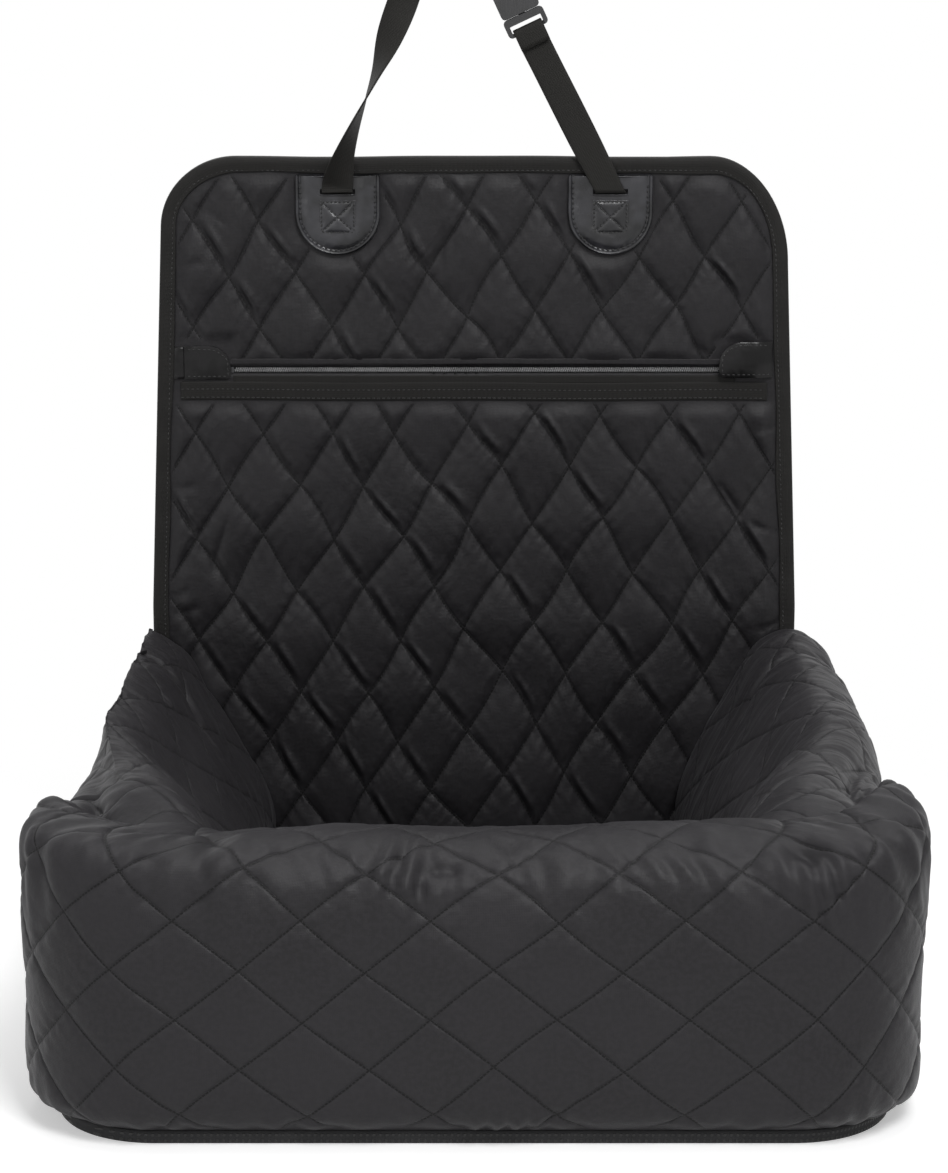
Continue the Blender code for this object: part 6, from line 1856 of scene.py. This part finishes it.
# Materials
class Nodes:
    """A node tree, with short names for the nodes that the looks are made of."""

    def __init__(self, tree):
        self.tree = tree
        self.shader = tree.nodes.get("Principled BSDF")
        self.normal = None

    def add(self, kind, inputs=None, **settings):
        made = self.tree.nodes.new("ShaderNode" + kind)
        for key, value in settings.items():
            setattr(made, key, value)
        for key, value in (inputs or {}).items():
            self.put(made.inputs[key], value)
        return made

    def put(self, socket, value):
        if isinstance(value, bpy.types.NodeSocket):
            self.tree.links.new(value, socket)
        else:
            socket.default_value = value

    def shade(self, **values):
        for key, value in values.items():
            self.put(self.shader.inputs[key.replace("_", " ")], value)

    def maths(self, operation, *values):
        return self.add("Math", dict(enumerate(values)), operation=operation).outputs[0]

    def ranged(self, value, low, high, to_low=0.0, to_high=1.0):
        inputs = {"Value": value, "From Min": low, "From Max": high, "To Min": to_low, "To Max": to_high}
        return self.add("MapRange", inputs, interpolation_type="SMOOTHSTEP").outputs[0]

    def noise(self, vector, scale, detail=3.0, rough=0.5):
        inputs = {"Vector": vector, "Scale": scale, "Detail": detail, "Roughness": rough}
        return self.add("TexNoise", inputs).outputs[0]

    def bands(self, vector, period, direction, distortion=0.0):
        inputs = {"Vector": vector, "Scale": WAVE_TURNS / period, "Distortion": distortion, "Detail": 0.0}
        return self.add("TexWave", inputs, wave_type="BANDS", bands_direction=direction).outputs["Fac"]

    def stretched(self, vector, scale, turn=0.0):
        inputs = {"Vector": vector, "Rotation": (0.0, 0.0, turn), "Scale": scale}
        return self.add("Mapping", inputs).outputs[0]

    def mixed(self, share, first, second):
        made = self.add("Mix", {0: share}, data_type="RGBA")
        for index, colour in ((6, first), (7, second)):
            socket = isinstance(colour, bpy.types.NodeSocket)
            self.put(made.inputs[index], colour if socket else (*colour, 1.0))
        return made.outputs[2]

    def tinted(self, share, colour, shares):
        """Between two shades of a colour."""
        return self.mixed(share, *[scaled(colour, part) for part in shares])

    def bump(self, height, distance, strength):
        """One more relief on top of those before."""
        inputs = {"Height": height, "Distance": distance, "Strength": strength}
        if self.normal is not None:
            inputs["Normal"] = self.normal
        self.normal = self.add("Bump", inputs).outputs[0]
        self.shade(Normal=self.normal)

    def weave(self, vector, period, strength):
        warp, weft = [self.bands(vector, period, direction) for direction in ("X", "Y")]
        crossed = self.maths("MAXIMUM", warp, weft)
        self.bump(crossed, period * WEAVE_RELIEF_SHARE, strength)
        return crossed

    def map(self, name="cloth"):
        return self.add("UVMap", uv_map=name).outputs[0]

    def solid(self):
        return self.add("TexCoord").outputs["Object"]


def scaled(colour, share):
    return tuple(channel * share for channel in colour)


def start_material(name, settings):
    """A new material, its nodes and its colour."""
    made = bpy.data.materials.new(name)
    made.use_nodes = True
    nodes = Nodes(made.node_tree)
    nodes.shade(**settings)
    return made, nodes, COLOURS.get(name)


def stitch_layers(nodes, diamond):
    """Groove, thread and pucker fields of the quilting, from the lattice coordinates."""
    split = nodes.add("SeparateXYZ", {0: nodes.map("quilt")})
    total, difference = [nodes.maths(kind, *split.outputs[:2]) for kind in ("ADD", "SUBTRACT")]
    spacing, run = line_spacing(diamond)
    grooves, threads, gathers = [], [], []
    for phase, other in ((total, difference), (difference, total)):
        off = nodes.maths("SUBTRACT", phase, nodes.maths("ROUND", phase))
        away = nodes.maths("MULTIPLY", nodes.maths("ABSOLUTE", off), spacing)
        grooves.append(nodes.ranged(away, *GROOVE_SPAN))
        turns = nodes.maths("MULTIPLY", other, run / STITCH_SPACING)
        dash = nodes.ranged(nodes.maths("PINGPONG", turns, 0.5), *DASH_SPAN)
        threads.append(nodes.maths("MULTIPLY", nodes.ranged(away, *THREAD_SPAN), dash))
        wave = nodes.maths("SINE", nodes.maths("MULTIPLY", other, math.tau * run / GATHER_SPACING))
        gathers.append(nodes.maths("MULTIPLY", wave, nodes.ranged(away, *GATHER_SPAN)))
    stitched = nodes.add("Attribute", attribute_name="stitched").outputs["Fac"]
    stitched = nodes.ranged(stitched, *STITCHED_SPAN)
    kinds = (("MAXIMUM", grooves), ("MAXIMUM", threads), ("ADD", gathers))
    joined = [nodes.maths(kind, *fields) for kind, fields in kinds]
    return [nodes.maths("MULTIPLY", field, stitched) for field in joined]


def quilt_material(name, diamond, wrinkled=False):
    """Polyester cloth with its weave, satin sheen, the quilting's stitch lines and painted shade in their
    grooves.
    """
    made, nodes, colour = start_material(name, QUILT_SHADER)
    vector = nodes.map()
    groove, thread, gather = stitch_layers(nodes, diamond)
    broad, fine, crinkle = [nodes.noise(vector, *settings) for settings in QUILT_NOISES]
    cloth = nodes.tinted(nodes.ranged(broad, *COLOUR_SPAN), colour, QUILT_TINT_SHARES)
    cloth = nodes.mixed(nodes.ranged(fine, *QUILT_FLECK_SPAN), cloth, scaled(colour, QUILT_FLECK_SHARE))
    # Painted shade: the cloth is darkened along the stitch grooves
    sunk = nodes.maths("MULTIPLY", groove, GROOVE_SHARE)
    cloth = nodes.mixed(sunk, cloth, scaled(colour, GROOVE_PAINTED_SHADE_SHARE))
    cloth = nodes.mixed(thread, cloth, scaled(colour, THREAD_TINT_SHARE))
    nodes.shade(Base_Color=cloth, Roughness=nodes.ranged(broad, *QUILT_ROUGHNESS))
    nodes.weave(vector, *QUILT_WEAVE)
    nodes.bump(crinkle, *CRINKLE_RELIEF)
    for turn, scale in WRINKLE_LAYERS if wrinkled else ():
        streak = nodes.stretched(vector, (1.0, WRINKLE_STRETCH_SHARE, 1.0), turn)
        nodes.bump(nodes.noise(streak, scale, *WRINKLE_NOISE), WRINKLE_RELIEF, 1.0)
    nodes.bump(gather, *GATHER_RELIEF)
    nodes.bump(nodes.maths("MULTIPLY", groove, -1.0), *GROOVE_RELIEF)
    nodes.bump(thread, *THREAD_RELIEF)
    return made


def tape_material(name, direction):
    """Grosgrain or webbing: ribs across the tape over a fine lengthwise weave."""
    made, nodes, colour = start_material(name, TAPE_SHADER)
    vector = nodes.map()
    other = "Y" if direction == "X" else "X"
    ribs = nodes.bands(vector, TAPE_RIB, direction, TAPE_DISTORTIONS[0])
    yarns = nodes.bands(vector, TAPE_RIB * TAPE_YARN_SHARE, other, TAPE_DISTORTIONS[1])
    broad = nodes.noise(vector, *TAPE_NOISE)
    cloth = nodes.tinted(nodes.ranged(ribs, *TAPE_RIB_SPAN), colour, TAPE_TINT_SHARES)
    cloth = nodes.mixed(nodes.ranged(broad, *TAPE_FLECK_SPAN), cloth, scaled(colour, TAPE_FLECK_SHARE))
    nodes.shade(Base_Color=cloth)
    for field, (share, strength) in ((ribs, TAPE_RIB_RELIEF_SHARES), (yarns, TAPE_YARN_RELIEF_SHARES)):
        nodes.bump(field, TAPE_RIB * share, strength)
    nodes.bump(broad, *TAPE_RELIEF)
    return made


def leather_material(name):
    """Smooth PU: fine pebbles, soft hollows, a satin coat and random paler and darker patches, painted
    highlights and shade.
    """
    made, nodes, colour = start_material(name, LEATHER_SHADER)
    gloss = LEATHER_GLOSSES[name]
    nodes.shade(Coat_Weight=LEATHER_COAT * gloss, Specular_IOR_Level=LEATHER_SPECULAR * gloss)
    vector = nodes.solid()
    cells = nodes.add("TexVoronoi", {"Vector": vector, "Scale": LEATHER_CELLS}).outputs["Distance"]
    broad, fine, painted_light_patches, soft = [nodes.noise(vector, *settings) for settings in LEATHER_NOISES]
    # Painted highlights and shade: random paler and darker patches of the PU's colour
    skin = nodes.tinted(nodes.ranged(painted_light_patches, *LEATHER_PAINTED_LIGHT_SPAN), colour, LEATHER_PAINTED_LIGHT_SHARES)
    skin = nodes.mixed(nodes.ranged(fine, *LEATHER_FLECK_SPAN), skin, scaled(colour, LEATHER_FLECK_SHARE))
    nodes.shade(Base_Color=skin, Roughness=nodes.ranged(broad, *LEATHER_ROUGHNESS))
    for field, relief in zip((cells, broad, soft), LEATHER_RELIEFS):
        nodes.bump(field, *relief)
    return made


def plain_cloth_material(name):
    """Plain woven cloth with a soft, uneven surface."""
    made, nodes, colour = start_material(name, PLAIN_SHADER)
    vector = nodes.map()
    crossed = nodes.weave(vector, PLAIN_WEAVES[name], PLAIN_WEAVE_STRENGTH)
    broad, soft = [nodes.noise(vector, *settings) for settings in PLAIN_NOISES]
    cloth = nodes.tinted(crossed, colour, PLAIN_TINT_SHARES)
    cloth = nodes.mixed(nodes.ranged(broad, *PLAIN_FLECK_SPAN), cloth, scaled(colour, PLAIN_FLECK_SHARE))
    nodes.shade(Base_Color=cloth)
    nodes.bump(soft, *PLAIN_RELIEF)
    return made


def grip_material(name):
    """Underside cloth with rubber dots in rows."""
    made, nodes, colour = start_material(name, GRIP_SHADER)
    vector = nodes.map()
    split = nodes.add("SeparateXYZ", {0: vector})
    squares = []
    for axis in (0, 1):
        turns = nodes.maths("MULTIPLY", split.outputs[axis], 1 / GRIP_SPACING)
        off = nodes.maths("SUBTRACT", nodes.maths("PINGPONG", turns, 0.5), GRIP_MIDDLE_SHARE)
        squares.append(nodes.maths("MULTIPLY", off, off))
    dot = nodes.ranged(nodes.maths("SQRT", nodes.maths("ADD", *squares)), *GRIP_DOT_SPAN)
    cloth = nodes.tinted(nodes.weave(vector, *GRIP_WEAVE), colour, GRIP_TINT_SHARES)
    skin = nodes.mixed(dot, cloth, COLOURS["grip_dots"])
    nodes.shade(Base_Color=skin, Roughness=nodes.ranged(dot, *GRIP_ROUGHNESS))
    nodes.bump(dot, *GRIP_RELIEF)
    return made


def hard_material(name):
    """Moulded plastic or painted metal: fine grain, faint flow marks and small scratches."""
    roughness, metallic, grain, coat = HARD_LOOKS[name]
    made, nodes, colour = start_material(name, {"Metallic": metallic, "Coat Weight": coat})
    vector = nodes.solid()
    detail, broad_noise, scratch_noise = HARD_NOISES
    fine, broad = nodes.noise(vector, grain, detail), nodes.noise(vector, *broad_noise)
    scratch = nodes.noise(nodes.stretched(vector, SCRATCH_STRETCH), *scratch_noise)
    low, high = [min(1.0, roughness * share) for share in HARD_ROUGHNESS_SHARES]
    nodes.shade(
        Base_Color=nodes.tinted(nodes.ranged(broad, *COLOUR_SPAN), colour, HARD_TINT_SHARES),
        Roughness=nodes.ranged(scratch, *HARD_SCRATCH_SPAN, low, high),
    )
    for field, relief in zip((fine, broad), HARD_RELIEFS):
        nodes.bump(field, *relief)
    return made


def thread_material(name):
    made, nodes, colour = start_material(name, THREAD_SHADER)
    twist = nodes.noise(nodes.solid(), *THREAD_TWIST)
    nodes.shade(Base_Color=nodes.tinted(twist, colour, THREAD_TINT_SHARES))
    nodes.bump(twist, *THREAD_TWIST_RELIEF)
    return made


def dress_cad(frame, names, material, bevel=0.0):
    for name in names:
        obj = frame["nodes"][name]
        obj.data.materials.clear()
        obj.data.materials.append(material)
        if bevel:
            bevelled(obj, "soft_edges", bevel, CAD_BEVEL_STEPS, CAD_BEVEL_ANGLE)
            obj.data.shade_smooth()


# Camera, floor and light
def build_camera():
    camera = bpy.data.cameras.new("photo_camera")
    camera.lens = CAMERA_LENS
    camera.sensor_width = SENSOR_SIZE
    camera.sensor_height = SENSOR_SIZE
    camera.sensor_fit = "AUTO"
    obj = linked("photo_camera", camera)
    obj.location = (0, CAMERA_Y, CAMERA_Z)
    obj.rotation_euler = (QUARTER - CAMERA_DOWN, 0, 0)
    bpy.context.scene.camera = obj


def area_light(name, place, size, power):
    light = bpy.data.lights.new(name, "AREA")
    light.shape = "RECTANGLE"
    light.size = light.size_y = size
    light.energy = power
    obj = linked(name, light)
    obj.location = place
    obj.rotation_euler = (Vector(LIGHT_TARGET) - Vector(place)).to_track_quat("-Z", "Y").to_euler()


def seen_directly(nodes):
    """One for camera rays and for the reflections that see the backdrop, else zero."""
    path = nodes.add("LightPath").outputs
    seen = nodes.maths("MAXIMUM", path["Is Camera Ray"], path["Is Glossy Ray"])
    return nodes.maths("MAXIMUM", seen, path["Is Transmission Ray"])


def floor_material():
    """White floor that keeps the shadow near the object and fades to plain white further out."""
    made, nodes, _ = start_material("floor_white", {"Roughness": FLOOR_ROUGHNESS})
    nodes.shade(Base_Color=(*[FLOOR_SHADE] * 3, 1.0), Specular_IOR_Level=FLOOR_SPECULAR)
    place = nodes.add("NewGeometry").outputs["Position"]
    away = nodes.add("VectorMath", {0: place}, operation="LENGTH").outputs["Value"]
    fade = nodes.maths("MULTIPLY", nodes.ranged(away, *FLOOR_FADE), seen_directly(nodes))
    white, lift = [nodes.add("Emission", {"Color": WHITE, "Strength": power}) for power in (1.0, FLOOR_LIFT)]
    plain = nodes.shader.outputs[0]
    lit = nodes.add("AddShader", {0: plain, 1: lift.outputs[0]})
    near = nodes.add("MixShader", {0: seen_directly(nodes), 1: plain, 2: lit.outputs[0]})
    shown = nodes.add("MixShader", {0: fade, 1: near.outputs[0], 2: white.outputs[0]})
    nodes.put(nodes.tree.nodes["Material Output"].inputs["Surface"], shown.outputs[0])
    return made


def build_stage():
    half = FLOOR_SIZE / 2
    corners = [(-half, -half, 0), (half, -half, 0), (half, half, 0), (-half, half, 0)]
    floor = new_mesh("floor", corners, np.array([[0, 1, 2, 3]]))
    floor.data.materials.append(floor_material())
    world = bpy.data.worlds.new("studio")
    bpy.context.scene.world = world
    world.use_nodes = True
    nodes = Nodes(world.node_tree)
    shown = world.node_tree.nodes["Background"].inputs
    nodes.put(shown["Color"], WHITE)
    nodes.put(shown["Strength"], nodes.ranged(seen_directly(nodes), 0.0, 1.0, WORLD_LIGHT, 1.0))
    for name, place, size, power in LAMPS:
        area_light(name, place, size, power)
    view = bpy.context.scene.view_settings
    view.view_transform = "Standard"
    view.look = "None"
    view.exposure = 0.0
    view.gamma = 1.0


def build_pieces(frame):
    cover = quilt_material("bolster_cloth", BOLSTER_DIAMOND)
    wrinkled = quilt_material("side_cloth", BOLSTER_DIAMOND, True)
    panel = quilt_material("panel_cloth_painted_shade", PANEL_DIAMOND)
    binding = tape_material("binding_tape", "X")
    webbing = tape_material("webbing_weave", "Y")
    leather, dark_leather = [leather_material(name) for name in LEATHER_GLOSSES]
    rear, lining = [plain_cloth_material(name) for name in PLAIN_WEAVES]
    grip = grip_material("grip_cloth")
    coil, metal, plastic, board = [hard_material(name) for name in HARD_LOOKS]
    thread = thread_material("sewing_thread")
    build_bolsters(cover, wrinkled)
    build_floor_cushion(cover)
    build_base(grip)
    build_panel_front(panel)
    build_binding(binding, thread)
    build_panel_rear(rear)
    build_pocket(lining, binding)
    build_zip(coil)
    build_band(binding, panel, thread)
    for side, sign in SIDES:
        build_patch(side, sign, leather, thread)
    build_tabs(dark_leather, thread)
    build_right_strap(webbing)
    build_left_strap(webbing)
    for side, sign in SIDES:
        build_root(side, sign, webbing)
    zip_parts = ("left_zip_stop", "right_zip_stop", "zip_slider", "zip_pull")
    dress_cad(frame, zip_parts, metal, METAL_BEVEL)
    buckle = ("buckle_female", "buckle_male", "buckle_arm_left", "buckle_arm_right")
    dress_cad(frame, buckle, plastic, BUCKLE_BEVEL)
    dress_cad(frame, ("flap_board", "lower_back_board"), board)


def main():
    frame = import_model()
    build_camera()
    build_stage()
    build_pieces(frame)


main()
